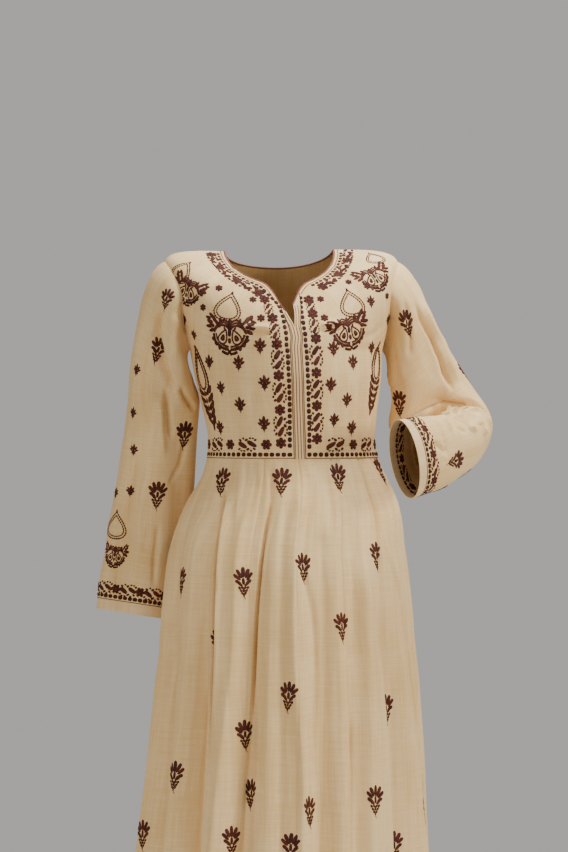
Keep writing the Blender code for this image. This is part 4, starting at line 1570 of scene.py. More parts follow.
@dataclass(frozen=True)
class SleeveForm:
    """Form of one sleeve: its arm rings, its cap and its main creases."""

    side: int
    arm: tuple
    cap: tuple
    creases: tuple
    cap_rows: int = 40
    arm_rows: int = 100
    cuff_rows: int = 9
    columns: int = 144
    cuff_band: float = 0.017
    bend_share: float = 0.85
    bend_reach: float = 0.24
    bend_facing: tuple = (0.3, 0.7)
    bend_free: float = 2.0

    def eased(
        self, offsets: np.ndarray, line: np.ndarray, heading: np.ndarray, run: np.ndarray
    ) -> np.ndarray:
        """Ring points facing into the bend, drawn in short of the planes of the rings near them.

        Args:
            offsets: Points of each ring from its middle.
            line: Middles of the rings.
            heading: Direction of the arm at each ring.
            run: Share of the arm's length at each ring.

        Returns:
            The offsets, shorter inside the bend: limit / 2 * (1 + tanh(2 / limit - 1)), at most 1.
        """
        apart = np.einsum("ijk,jk->ij", line[None] - line[:, None], heading)
        near = (run[None] != run[:, None]) & (np.abs(run[None] - run[:, None]) <= self.bend_reach)
        inward = unit(np.gradient(heading, axis=0))
        inside = smoothstep(*self.bend_facing, np.einsum("ipk,ik->ip", unit(offsets), inward))
        share = np.ones(offsets.shape[:2])
        for ring in range(len(line)):
            lean = offsets[ring] @ heading[near[ring]].T
            lean = np.where(np.abs(lean) < 1e-6, 1e-6, lean)
            meeting = apart[ring, near[ring]][None] / lean
            limit = self.bend_share * np.where(meeting > 0, meeting, np.inf).min(axis=1)
            limit = np.minimum(limit, self.bend_free)
            share[ring] = np.minimum(limit / 2 * (1 + np.tanh(2 / limit - 1)), 1.0)
        return offsets * (1 - inside * (1 - share))[..., None]

    def line(self) -> tuple:
        """Middle and half sizes of the rings, smooth along the arm.

        Returns:
            Middles, half sizes and shares of the arm's length.
        """
        table = np.array(self.arm)
        gaps = np.linalg.norm(np.diff(table[:, :3], axis=0), axis=1)
        run = np.concatenate([[0.0], np.cumsum(gaps)])
        start = run[-1] - self.cuff_band
        spots = np.concatenate(
            [np.linspace(0.0, start, self.arm_rows + 1), np.linspace(start, run[-1], self.cuff_rows + 1)[1:]]
        )
        values = np.stack([along(run, table[:, k], spots) for k in range(5)], axis=-1)
        return values[:, :3], values[:, 3:], spots / run[-1]

    def frames(self, line: np.ndarray) -> tuple:
        """Heading, outward and forward directions, carried along the arm without twist.

        Args:
            line: Middles of the rings.

        Returns:
            The three directions of every ring.
        """
        heading = unit(np.gradient(line, axis=0))
        outward, outs, fronts = np.array([float(self.side), 0.0, 0.0]), [], []
        for direction in heading:
            outward = unit(outward - direction * np.dot(outward, direction))
            outs.append(outward)
            fronts.append(self.side * np.cross(direction, outward))
        return heading, np.array(outs), np.array(fronts)

    def clear(self, points: np.ndarray, skirt: SkirtForm, armpit: float) -> np.ndarray:
        """Points kept 6 mm outside the trunk and the skirt.

        Args:
            points: Sleeve points.
            skirt: Skirt to stay clear of.
            armpit: Drop of the armpit.

        Returns:
            Points moved out where they were closer.
        """
        drop = np.clip(-points[..., 2], armpit, skirt.hem_drop)
        middle = np.stack([ring_value(SHIFT, drop), np.zeros_like(drop), points[..., 2]], axis=-1)
        away = points - middle
        reach = np.where(away[..., 1] < 0, ring_value(FRONT, drop), ring_value(BACK, drop))
        theta = np.arctan2(away[..., 0] / ring_value(HALF_WIDTH, drop), -away[..., 1] / reach)
        cloth = np.where((drop > skirt.waist_drop)[..., None], skirt.folded(theta, drop), trunk(theta, drop))
        limit = np.linalg.norm((cloth - middle)[..., :2], axis=-1) + 0.006
        radius = np.linalg.norm(away[..., :2], axis=-1)
        kept = np.maximum(radius, limit * smoothstep(armpit + 0.005, armpit + 0.05, -points[..., 2]))
        return middle + away * (kept / radius)[..., None]

    def sheet(self, bodice: BodiceForm, skirt: SkirtForm) -> Sheet:
        """Sleeve from its armhole over the cap and down the arm to the cuff's end.

        Args:
            bodice: Form whose armhole it is set into.
            skirt: Form it stays clear of.

        Returns:
            The sheet, armhole first.
        """
        turn = bodice.turns(self.columns)
        line, size, run = self.line()
        heading, outs, fronts = self.frames(line)
        wide = size[:, :1, None] * np.cos(turn)[None, :, None] * outs[:, None, :]
        deep = size[:, 1:, None] * np.sin(turn)[None, :, None] * fronts[:, None, :]
        rings = line[:, None, :] + self.eased(wide + deep, line, heading, run)
        top = (1 + np.cos(turn)) / 2
        rise_out, rise_down, under_out, under_down, leave_size, arrive_top, arrive_under = self.cap
        leave = np.stack([
            self.side * (under_out + (rise_out - under_out) * top),
            -leave_size * np.sin(turn) * 0.5,
            under_down + (rise_down - under_down) * top,
        ], axis=-1)
        arrive = heading[0] * (arrive_under + (arrive_top - arrive_under) * top)[:, None]
        share = np.linspace(0.0, 1.0, self.cap_rows + 1)[:-1, None, None]
        start, start_slope, end, end_slope = hermite(share)
        cap = start * bodice.armhole(
            self.side, turn
        ) + start_slope * leave + end * rings[0] + end_slope * arrive
        grid = np.concatenate([cap, rings])
        station = np.concatenate([np.linspace(0.0, 1.0, self.cap_rows + 1)[:-1], 1.0 + run])
        push = np.zeros(grid.shape[:2])
        for angle, drift, peak, length, width, height in self.creases:
            middle = np.radians(angle + drift * (station - peak))[:, None]
            away = np.arctan2(np.sin(turn - middle), np.cos(turn - middle)) / math.radians(width)
            push += height * np.exp(-(away ** 2) - ((station[:, None] - peak) / length) ** 2)
        push *= smoothstep(0.0, 0.35, station)[:, None]
        uneven = soft_noise(station[:, None] / 2, turn[None] / TAU % 1.0, (16, 9), 11 + self.side)
        push += 0.0013 * uneven * smoothstep(
            0.05, 0.5, station
        )[:, None] * smoothstep(2.0, 1.9, station)[:, None]
        grid = grid + unit(grid - grid.mean(axis=1, keepdims=True)) * push[..., None]
        grid[1:] = self.clear(grid[1:], skirt, bodice.armpit_drop)
        return Sheet(grid, wrap=True, facing=float(self.side))


RIGHT_SLEEVE = SleeveForm(
    side=-1,
    arm=(
        (-0.1950, 0.042, -0.250, 0.061, 0.050), (-0.2010, 0.054, -0.323, 0.063, 0.048),
        (-0.2080, 0.066, -0.391, 0.067, 0.046), (-0.2180, 0.076, -0.473, 0.070, 0.045),
        (-0.2350, 0.074, -0.558, 0.067, 0.044), (-0.2440, 0.070, -0.612, 0.065, 0.043),
    ),
    cap=(0.130, -0.040, 0.045, -0.060, 0.10, 0.230, 0.080),
    creases=(
        (75, 40, 0.75, 0.35, 26, -0.010), (50, 10, 1.00, 0.40, 24, 0.007), (120, 30, 1.20, 0.30, 24, -0.008),
        (95, 10, 1.55, 0.45, 26, 0.008), (60, -15, 1.70, 0.50, 24, -0.007), (250, 20, 1.10, 0.40, 28, -0.009),
        (290, -10, 1.60, 0.50, 26, -0.008),
    ),
)
LEFT_SLEEVE = SleeveForm(
    side=1,
    arm=(
        (0.2370, 0.004, -0.198, 0.060, 0.047), (0.2710, 0.008, -0.250, 0.061, 0.048),
        (0.2980, -0.008, -0.294, 0.060, 0.047), (0.2800, -0.062, -0.320, 0.053, 0.052),
        (0.2360, -0.124, -0.334, 0.040, 0.060), (0.1740, -0.190, -0.345, 0.027, 0.064),
    ),
    cap=(0.120, -0.050, 0.050, -0.040, 0.08, 0.180, 0.060),
    creases=(
        (70, 30, 0.85, 0.35, 26, -0.008), (110, 20, 1.30, 0.22, 26, -0.012), (80, 60, 1.42, 0.16, 24, 0.008),
        (60, 40, 1.55, 0.20, 22, -0.007), (200, 10, 1.15, 0.25, 26, -0.008), (
            250, 20, 1.00, 0.40, 28, -0.008
        ),
        (180, 0, 1.17, 0.11, 45, 0.040),
    ),
)

# Creases pressed into sleeves and fronts: width and height in millimetres, then pixels they pass
RIGHT_SLEEVE_LINES = (
    (5.5, -9.0, ((165.5, 300), (158, 318), (156, 334), (160, 350), (163, 364), (170, 382), (175, 398))),
    (9.0, 4.0, ((176, 312), (173, 338), (176, 362))),
    (4.5, -7.0, ((179.5, 386), (187, 400), (195.6, 411))),
    (4.2, -7.0, ((165, 384), (168, 411), (172, 440))),
    (6.0, 5.0, ((160, 395), (160.5, 425), (163, 458))),
    (5.0, -3.0, ((146, 352), (142, 392), (146, 430))),
    (4.5, -3.0, ((186, 440), (180, 466), (168, 486))),
    (5.0, -2.8, ((138, 452), (132, 490), (130, 524))),
    (6.0, 2.6, ((146, 470), (141, 520), (138, 566))),
    (4.5, -3.0, ((158, 520), (155, 556), (154, 590))),
    (4.5, -2.6, ((122, 540), (118, 568), (116, 592))),
    (4.0, -3.0, ((182, 300), (186, 318), (187, 336))),
)
LEFT_SLEEVE_LINES = (
    (4.2, -9.0, ((434, 400), (453.9, 404.5), (473, 403), (484.5, 411), (492, 424))),
    (3.4, 3.8, ((434.7, 408), (443, 420), (451.6, 433.2))),
    (3.2, 4.2, ((437, 408.7), (453.9, 419.4), (469.2, 427.8), (478.3, 428.6))),
    (3.4, 4.6, ((435.5, 405.5), (461.5, 411.8), (473, 417.9), (484.5, 434), (489, 441))),
    (3.6, 4.0, ((465.3, 410.8), (476.8, 409.2), (486.8, 419.4), (491.0, 428))),
    (4.2, -3.6, ((447, 410.5), (458, 416.5), (470, 422.5))),
    (4.2, -3.2, ((444, 414.5), (456, 426), (468, 434))),
    (4.0, -3.4, ((478, 415), (485, 425), (489, 435))),
    (4.2, -5.6, ((414, 300), (421, 318), (432, 338), (439, 356), (444, 374), (455, 394))),
    (7.0, 4.6, ((421, 300), (430, 320), (442, 342), (450, 362), (458, 384))),
    (5.0, -3.0, ((404, 300), (410, 330), (408, 360))),
    (5.0, -2.6, ((392, 345), (396, 372), (404, 392))),
    (5.0, -2.6, ((430, 440), (446, 452), (462, 460))),
)
FRONT_RIGHT_LINES = (
    (3.0, -4.4, ((246, 332.0), (258, 333.0), (273, 333.5))),
    (4.6, 4.2, ((240, 325.5), (257, 327), (273, 328))),
    (5.0, -2.6, ((196, 322), (206, 331), (220, 337))),
    (4.5, -2.2, ((199, 338), (209, 352), (214, 370))),
    (5.0, 1.6, ((228, 372), (226, 402), (229, 432))),
    (5.0, -1.8, ((252, 384), (253, 410), (251, 434))),
    (4.5, -1.8, ((206, 404), (211, 422), (214, 440))),
    (5.0, -1.8, ((236, 262), (226, 276), (216, 284))),
)
FRONT_LEFT_LINES = (
    (3.0, -3.4, ((319, 331.5), (331, 329.5), (345, 327.5))),
    (4.6, 3.6, ((319, 325.5), (332, 323.5), (345, 321.5))),
    (5.0, -2.6, ((384, 322), (375, 332), (363, 338))),
    (4.5, -2.2, ((383, 338), (375, 354), (371, 372))),
    (5.0, 1.6, ((352, 374), (354, 404), (352, 434))),
    (5.0, -1.8, ((332, 384), (334, 410), (333, 436))),
    (4.5, -1.8, ((379, 404), (374, 422), (371, 442))),
    (5.0, -1.8, ((330, 262), (340, 274), (350, 280))),
)

# Sprigs of the skirt's seen front as degrees, height and tilt
SKIRT_SPRIGS = (
    (-54.8, -0.384, -6), (-13.2, -0.383, 0), (22.0, -0.377, 2), (-64.8, -0.547, -3), (-26.8, -0.543, -2),
    (1.2, -0.520, 0), (40.8, -0.505, 3), (-42.0, -0.643, -2), (18.5, -0.615, 2), (-6.0, -0.721, 3),
    (44.2, -0.753, -2), (-25.2, -0.785, -2), (-55.5, -0.856, 2), (-22.0, -0.878, 0), (2.8, -0.901, 2),
    (29.8, -0.890, 4), (66.0, -0.924, 2), (-80.5, -0.966, -4), (-27.8, -0.950, 0), (-4.2, -0.956, 2),
    (47.2, -0.975, 2), (67.0, -0.366, 3),
)
HIDDEN_TIERS = (-0.390, -0.505, -0.620, -0.735, -0.850, -0.965)
LOW_TIERS = (-1.075, -1.175, -1.262)

FRONT_RIGHT_SPRIGS = (
    (260, 346, 1.0), (238.5, 363, 1.0), (209, 362, 0.95), (264.5, 383, 1.0), (221, 388, 0.9), (240, 405, 1.0),
    (264, 424, 1.0), (220, 427.5, 0.95),
)
FRONT_LEFT_SPRIGS = (
    (
        333.5, 348.5, 1.0
    ), (353, 362, 1.0), (331, 385, 1.0), (347, 400, 0.95), (371.5, 348, 0.9), (371, 301.5, 0.8),
    (352, 428, 1.0), (334, 420, 0.9),
)
FRONT_RIGHT_ROSETTES = (
    (253, 299.5, 0.85), (261, 318, 0.9), (219, 288, 0.85), (202.5, 292, 0.8), (203, 307.5, 0.8)
)
FRONT_LEFT_ROSETTES = (
    (320.5, 299, 0.85), (324.5, 318, 0.9), (348.5, 282, 0.8), (367, 286, 0.85), (387, 296, 0.75)
)

RIGHT_DOTS = (
    (263.1, 290.9), (272.5, 298.8), (279.3, 306.7), (282.5, 315.3), (284.4, 325.3), (286.4, 336.8),
    (287.5, 351.2), (288.2, 364.1), (289.2, 387.0), (289.7, 404.3), (289.8, 428.6), (289.8, 447.0),
)
RIGHT_VINE = ((264.6, 299.5), (272.5, 318.2), (276.8, 344.0), (278.9, 375.6), (280.1, 410.0), (281.1, 443.0))
LEFT_DOTS = (
    (300.6, 297.0), (301.2, 308.1), (302.4, 316.7), (303.6, 325.3), (305.2, 334.0), (306.6, 351.2),
    (307.6, 368.4), (308.2, 385.6), (308.6, 402.8), (309.2, 421.5), (309.4, 447.0),
)
LEFT_VINE = ((308.6, 299.5), (312.6, 313.9), (315.9, 338.3), (316.5, 372.7), (316.9, 405.7), (317.0, 438.7))

RIGHT_SLEEVE_SPRIGS = (
    (158, 351, 0.95), (184.6, 436, 1.0), (157.4, 496, 1.0), (136.6, 370, 0.62), (133, 413, 0.6),
    (133.7, 450, 0.6), (130.6, 491, 0.6), (116, 493, 0.6), (166, 300, 0.8),
)
LEFT_SLEEVE_SPRIGS = (
    (407, 324, 1.0), (464, 372, 0.9), (399, 404, 0.95), (455.5, 461, 0.95),
)


class Finishes:
    """All finishes of the gown, made once."""

    def __init__(self) -> None:
        """Make every material."""
        self.cotton = Cotton("cream_cotton", (0.800, 0.572, 0.292, 1.0), (0.715, 0.474, 0.204, 1.0)).make()
        self.band = Cotton(
            "plain_band_cotton", (0.800, 0.585, 0.322, 1.0), (0.715, 0.486, 0.234, 1.0), thread=0.0006
        ).make()
        self.thread = Thread("maroon_thread", (0.034, 0.0055, 0.0030, 1.0), (0.165, 0.034, 0.019, 1.0)).make()
        self.piping = Thread(
            "brown_piping", (0.150, 0.050, 0.028, 1.0), (0.330, 0.140, 0.085, 1.0), strand=0.0008
        ).make()
        self.cord = Thread(
            "dark_brown_line", (0.060, 0.022, 0.014, 1.0), (0.150, 0.058, 0.036, 1.0), strand=0.0008
        ).make()


@dataclass
class Garment:
    """What the sub-assemblies share."""

    finishes: Finishes
    cloth: float = 0.0011

    def cloth_piece(
        self, name: str, sheet: Sheet, node: str, slot: str, held: str, rests_on: tuple = (),
        sewn: tuple = ()
    ) -> bpy.types.Object:
        """One cut piece of cloth: a thin closed shell in its finish, standing in for the frame's solid, which
        it hides.

        Args:
            name: Name of the piece.
            sheet: Its cloth.
            node: Solid of the frame it stands for.
            slot: Kind of cloth; cuff_band and slit_strip get the band finish, the rest plain cotton.
            held: How the cloth is held; not used.
            rests_on: Nodes it hangs from; not used.
            sewn: Pieces sewn on it; not used.

        Returns:
            The piece.
        """
        material = self.finishes.band if slot in ("cuff_band", "slit_strip") else self.finishes.cotton
        piece = dress(shell(name, sheet, self.cloth), material)
        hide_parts(node)
        return piece


@dataclass
class Skirt(Garment):
    """Sixteen kalis and the flowers on them."""

    form: SkirtForm = field(default_factory=SkirtForm)

    def places(self) -> list:
        """Places of all flowers: the seen front as listed, staggered tiers round the back and below.

        Returns:
            Degrees, height and tilt of each.
        """
        rng = np.random.default_rng(21)
        places = list(SKIRT_SPRIGS)
        for tier, z in enumerate(HIDDEN_TIERS):
            for degrees in np.arange(106 + 17 * (tier % 2), 262, 34):
                places.append(
                    (degrees + rng.uniform(-3, 3), z + rng.uniform(-0.012, 0.012), rng.uniform(-4, 4))
                )
        for tier, z in enumerate(LOW_TIERS):
            for degrees in np.arange(12 * (tier % 2), 359, 24):
                places.append(
                    (degrees + rng.uniform(-3, 3), z + rng.uniform(-0.010, 0.010), rng.uniform(-4, 4))
                )
        return places

    def build(self) -> None:
        """Make every kali with its own embroidery."""
        sheet = self.form.sheet()
        cells, columns = self.form.cells, sheet.points.shape[1]
        work = [Embroidery(sheet) for _ in range(self.form.kalis)]
        motif = skirt_sprig()
        for degrees, z, tilt in self.places():
            spot = self.form.spot(degrees, z)
            work[int(spot[1] // cells) % self.form.kalis].stamp(motif, spot, (0.0, 0.0, 1.0), tilt=tilt)
        for number in range(self.form.kalis):
            name = f"kali_{number + 1:02d}"
            sewn = work[number].build(f"{name}_embroidery", self.finishes.thread, "skirt", seed=number)
            ids = np.arange(number * cells, (number + 1) * cells + 1) % columns
            cut = Sheet(sheet.points[:, ids], False)
            cut.normals = sheet.normals[:, ids]
            self.cloth_piece(
                name, cut, f"skirt_{name}", "skirt", "gathered", sewn=(sewn,),
                rests_on=("bodice_back",) if 4 <= number < 12 else ("bodice_front_left",)
            )


@dataclass
class Bodice(Garment):
    """Two embroidered fronts, a back, two slit strips and the neck binding."""

    form: BodiceForm = field(default_factory=BodiceForm)

    def panel(self, start: np.ndarray, end: np.ndarray, columns: int) -> Sheet:
        """Panel between a start and an end angle of each row.

        Args:
            start: First angle of each row.
            end: Last angle of each row.
            columns: Number of cells across.

        Returns:
            The panel, waist first.
        """
        share = np.linspace(0.0, 1.0, columns + 1)
        share = share - 0.05 * np.sin(TAU * share)
        return Sheet(self.form.points(start[:, None] + (end - start)[:, None] * share, self.levels[:, None]))

    def pixel_path(self, sheet: Sheet, pixels: tuple) -> Path:
        """Smooth path over a sheet through places seen by the camera.

        Args:
            sheet: Cloth.
            pixels: Pixels that the path passes.

        Returns:
            The path.
        """
        spots = np.array([sheet.at_pixel(pixel) for pixel in pixels])
        keys = np.arange(len(spots), dtype=float)
        fine = np.linspace(0, len(spots) - 1, 120)
        return Path(sheet, np.stack([along(keys, spots[:, k], fine) for k in (0, 1)], axis=-1))

    def edge(self, sheet: Sheet, where: str) -> Path:
        """Path along one edge of a panel.

        Args:
            sheet: Panel.
            where: 'first' or 'last' column from the waist up, 'neck' or 'waist' row.

        Returns:
            The path.
        """
        rows, columns = sheet.points.shape[:2]
        if where in ("first", "last"):
            run = np.arange(rows)
            return Path(sheet, np.stack([run, np.full(rows, 0 if where == "first" else columns - 1)], axis=1))
        run = np.arange(columns)
        return Path(sheet, np.stack([np.full(columns, 0 if where == "waist" else rows - 1), run], axis=1))

    def neck_border(self, work: Embroidery, sheet: Sheet, low: float, high: float) -> list:
        """Border round the neck: two stitched lines, a row of seeds and a row of leaves and rosettes.

        Args:
            work: Embroidery of the panel.
            sheet: Panel.
            low: Share of the neck edge where it starts.
            high: Share where it ends.

        Returns:
            Path of the second line.
        """
        neck = self.edge(sheet, "neck")
        seeds = neck.moved(0.0100).between(low, high)
        leaves = neck.moved(0.0222).between(low, high)
        seed = Motif().leaf(0, 0, 14, 8.0, 6.4, 0.1)
        small = Motif().leaf(0, 0, -14, 7.4, 6.0, 0.1)
        work.follow([seed, small], seeds, 0.0086, 0.003)
        leaf = Motif().leaf(
            1.0, 0, 30, 15.0, 8.4, 0.1
        ).leaf(-6.8, 2.4, -26, 8.6, 5.6).leaf(7.4, -4.0, 60, 5.6, 4.2)
        pair = Motif().leaf(
            2.8, -4.0, -32, 12.5, 7.6, 0.1
        ).leaf(-4.2, 4.4, 30, 11.0, 6.6, 0.1).leaf(7.0, 5.6, 20, 5.6, 4.2)
        work.follow([rosette(6.2), leaf, pair], leaves, 0.0148, 0.006)
        spare = Motif().leaf(0, 0, 34, 6.6, 4.4, 0.1)
        other = Motif().leaf(0, 0, -30, 5.8, 4.0, 0.1)
        for reach, first in ((0.0158, 0.008), (0.0292, 0.004)):
            work.follow([spare, other], neck.moved(reach).between(low, high), 0.0084, first)
        return [neck.moved(0.0046).between(0.0, 1.0)]

    def front(self, sheet: Sheet, side: int) -> tuple:
        """Embroidery of one front and the corded lines on it.

        Args:
            sheet: Front panel.
            side: 1 for the left, -1 for the right.

        Returns:
            Embroidery and cord paths.
        """
        work = Embroidery(sheet)
        up = (0.0, 0.0, 1.0)
        sprigs, roses = (FRONT_LEFT_SPRIGS, FRONT_LEFT_ROSETTES) if side > 0 else (
            FRONT_RIGHT_SPRIGS, FRONT_RIGHT_ROSETTES
        )
        for x, y, size in sprigs:
            work.stamp(small_sprig(), sheet.at_pixel((x, y)), up, scale=size * 0.98)
        for x, y, size in roses:
            work.stamp(rosette(4.9), sheet.at_pixel((x, y)), up, scale=size)
        dots = self.pixel_path(sheet, LEFT_DOTS if side > 0 else RIGHT_DOTS)
        vine = LEFT_VINE if side > 0 else RIGHT_VINE
        work.follow([border_dot()], dots, 0.0097, 0.002)
        for (x0, y0), (x1, y1) in zip(vine, vine[1:] + vine[-1:]):
            work.stamp(rosette(6.0), sheet.at_pixel((x0, y0)), up)
            size = min(math.hypot(x1 - x0, y1 - y0) / 33.0, 1.0)
            if size > 0.3:
                work.stamp(
                    vine_leaves(28), sheet.at_pixel(((x0 + x1) / 2, (y0 + y1) / 2)), up,
                    scale=max(size, 0.66)
                )
        cords = self.neck_border(work, sheet, 0.16 if side > 0 else 0.04, 0.97 if side > 0 else 0.80)
        waist = self.edge(sheet, "waist")
        if side < 0:
            seeds, leaves = waist.moved(-0.0072).between(
                0.03, 0.975
            ), waist.moved(-0.0235).between(0.03, 0.90)
        else:
            seeds, leaves = waist.moved(-0.0072).between(
                0.025, 0.97
            ), waist.moved(-0.0235).between(0.06, 0.97)
        work.follow([border_dot()], seeds, 0.0097, 0.002)
        pitch = leaves.length[-1] / 2.5
        work.follow([rosette(5.8)], leaves, pitch, 0.006 if side < 0 else 0.006 + pitch)
        work.follow([vine_leaves(28 if side < 0 else -28)], leaves, pitch, 0.006 + pitch / 2)
        cords.append(waist.moved(-0.0012))
        edge = self.edge(sheet, "first" if side > 0 else "last")
        cords.append(edge.moved(0.0009 * side))
        self.chest(work, sheet, side)
        return work, cords

    def chest(self, work: Embroidery, sheet: Sheet, side: int) -> None:
        """Medallions and bouquets of chest and shoulder, and the spray beside the waist.

        Args:
            work: Embroidery of the panel.
            sheet: Front panel.
            side: 1 for the left, -1 for the right.
        """
        up = (0.0, 0.0, 1.0)
        if side < 0:
            places = (
                (228.3, 306.5, 12, 0.98, 229.5, 335.5, 4, 0.98),
                (181.5, 270.5, 26, 0.86, 187, 291, 24, 0.78)
            )
            spray, tilt, size = (205.0, 392), -6, 1.12
        else:
            places = (
                (351.5, 302.5, -10, 0.96, 349.5, 332.0, -12, 0.92),
                (374, 257.5, -20, 0.72, 375, 277.5, -20, 0.80)
            )
            spray, tilt, size = (375.5, 381), 8, 0.98
        for mx, my, turn, scale, bx, by, bend, spread in places:
            work.stamp(medallion(), sheet.at_pixel((mx, my)), up, scale=scale, tilt=turn)
            work.stamp(bolder(bouquet(), 1.35, 1.18), sheet.at_pixel((bx, by)), up, scale=spread, tilt=bend)
        work.stamp(bolder(side_spray(), 1.5, 1.12), sheet.at_pixel(spray), up, scale=1.12 * size, tilt=tilt)
        if side < 0:
            for x, y in ((171, 313), (184, 320), (194, 335)):
                work.stamp(small_sprig(), sheet.at_pixel((x, y)), up, scale=0.7, tilt=20)
        else:
            for x, y in ((388, 320), (384, 345)):
                work.stamp(small_sprig(), sheet.at_pixel((x, y)), up, scale=0.8, tilt=-15)

    def back(self, sheet: Sheet) -> tuple:
        """Embroidery of the back: neck and waist borders and a few sprigs.

        Args:
            sheet: Back panel.

        Returns:
            Embroidery and cord paths.
        """
        work = Embroidery(sheet)
        cords = self.neck_border(work, sheet, 0.02, 0.98)
        waist = self.edge(sheet, "waist")
        work.follow([border_dot()], waist.moved(-0.0072).between(0.012, 0.988), 0.0097, 0.002)
        vine = waist.moved(-0.0235).between(0.02, 0.98)
        work.follow([rosette(5.8)], vine, 0.057, 0.012)
        work.follow([vine_leaves(28)], vine, 0.057, 0.012 + 0.0285)
        cords.append(waist.moved(-0.0012))
        rows, columns = sheet.points.shape[:2]
        for tier, row in enumerate((0.20, 0.34, 0.48, 0.62, 0.76)):
            for share in np.arange(0.14 + 0.09 * (tier % 2), 0.9, 0.18):
                work.stamp(small_sprig(), (row * rows, share * columns), (0.0, 0.0, 1.0))
        return work, cords

    def build(self) -> None:
        """Make every piece of the bodice."""
        form = self.form
        self.levels = form.levels(44, 56, 30)
        levels = self.levels
        quarter, full = np.full_like(levels, math.pi / 2), np.full_like(levels, TAU)
        (right_in, right_out), (left_in, left_out) = form.strip(levels, -1), form.strip(levels, 1)
        front_end = quarter - form.dip(levels, form.front_dip)
        back_start = quarter + form.dip(levels, form.back_dip)
        left = self.panel(left_out, front_end, 64)
        right = self.panel(full - front_end, full + right_out, 64)
        back = self.panel(back_start, full - back_start, 104)
        for sheet, lines in ((left, FRONT_LEFT_LINES), (right, FRONT_RIGHT_LINES)):
            sheet.press(
                [line[:2] for line in lines], [[sheet.at_pixel(p) for p in line[2]] for line in lines]
            )
        self.press_back(back)
        for name, sheet, (work, cords) in (
            ("bodice_front_left", left, self.front(left, 1)),
            ("bodice_front_right", right, self.front(right, -1)),
            ("bodice_back", back, self.back(back)),
        ):
            sewn = work.build(f"{name}_embroidery", self.finishes.thread, "bodice")
            cord = ribbons(f"{name}_cord", cords, 0.0014, 0.0006, self.finishes.cord)
            self.cloth_piece(f"{name}_cloth", sheet, name, "bodice", "draped", sewn=(sewn, cord))
        for name, inner, outer, side in (
            ("placket_left", left_in, left_out, 1), ("placket_right", full + right_out, full + right_in, -1)
        ):
            strip = self.panel(inner, outer, 8)
            edge = self.edge(strip, "first" if side > 0 else "last")
            cord = ribbons(
                f"{name}_cord", [edge.moved(0.0024 * side), edge.moved(0.0070 * side)], 0.0015, 0.0005,
                self.finishes.piping
            )
            self.cloth_piece(f"{name}_cloth", strip, name, "slit_strip", "draped", sewn=(cord,))
        self.binding(
            np.concatenate(
                [
                    left_in[-1:], np.linspace(left_out[-1], front_end[-1], 60),
                    np.linspace(back_start[-1], (full - back_start)[-1], 110)[1:],
                    np.linspace((full - front_end)[-1], (full + right_out)[-1], 60)[1:],
                    (full + right_in)[-1:]
                ]
            )
        )

    def press_back(self, sheet: Sheet) -> None:
        """Soft folds of the back: shoulder drags, a hollow over the spine and lines over the waist.

        Args:
            sheet: Back panel.
        """
        rows, columns = sheet.points.shape[:2]
        lines = (
            (9.0, -3.0, ((0.10, 0.50), (0.40, 0.50), (0.70, 0.51))), (
                5.0, -2.4, ((0.02, 0.30), (0.14, 0.31), (0.28, 0.29))
            ),
            (5.0, 1.8, ((0.02, 0.36), (0.16, 0.37), (0.30, 0.35))), (
                5.0, -2.4, ((0.02, 0.68), (0.15, 0.69), (0.26, 0.71))
            ),
            (5.0, 1.8, ((0.02, 0.62), (0.12, 0.63), (0.24, 0.64))), (
                5.5, -2.6, ((0.36, 0.06), (0.44, 0.16), (0.50, 0.30))
            ),
            (5.5, -2.6, ((0.36, 0.94), (0.43, 0.85), (0.48, 0.72))), (
                6.0, -2.0, ((0.88, 0.26), (0.76, 0.20), (0.64, 0.16))
            ),
            (6.0, -2.0, ((0.88, 0.74), (0.75, 0.80), (0.62, 0.84))),
        )
        sheet.press(
            [line[:2] for line in lines],
            [[(r * (rows - 1), c * (columns - 1)) for r, c in line[2]] for line in lines]
        )

    def binding(self, theta: np.ndarray) -> None:
        """Rolled binding of the neck edge: an oval section carried round the neck.

        Args:
            theta: Angles of the neck edge, from the slit round to the slit.
        """
        form = self.form
        edge = form.points(theta, np.ones_like(theta))
        before = form.points(theta, np.full_like(theta, 0.999))
        upward = unit(edge - before)
        along_edge = unit(np.gradient(edge, axis=0))
        outward = unit(np.cross(along_edge, upward))
        angle = np.linspace(0.0, TAU, 12, endpoint=False)
        middle = edge + upward * 0.0019 - outward * 0.0006
        ring = middle[:, None] + outward[:, None] * 0.0015 * np.cos(angle)[None, :, None] + upward[:, None] * 0.0019 * np.sin(angle)[
            None, :, None
        ]
        sheet = Sheet(ring, wrap=True, facing=-1.0)
        rows = ring.shape[0]
        flat = np.concatenate(
            [np.arange(rows * 12).reshape(rows, 12), np.arange(rows * 12).reshape(rows, 12)[:, :1]], axis=1
        )
        faces = np.stack(
            [flat[:-1, :-1], flat[:-1, 1:], flat[1:, 1:], flat[1:, :-1]], axis=-1
        ).reshape(-1, 4)[:, ::-1]
        mesh = make_mesh("neck_binding_roll", ring.reshape(-1, 3), faces)
        u, v = sheet.metres()
        corners = np.stack(
            [u[:-1, :-1], v[:-1, :-1], u[:-1, 1:], v[:-1, 1:], u[1:, 1:], v[1:, 1:], u[1:, :-1], v[1:, :-1]],
            axis=-1
        ).reshape(-1, 4, 2)[:, ::-1]
        set_uv(mesh, corners.reshape(-1, 2))
        mesh.attributes.new("tone", "FLOAT", "POINT").data.foreach_set(
            "value", np.full(len(mesh.vertices), 0.35, np.float32)
        )
        piece = dress(mesh, self.finishes.piping)
        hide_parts("neck_binding")


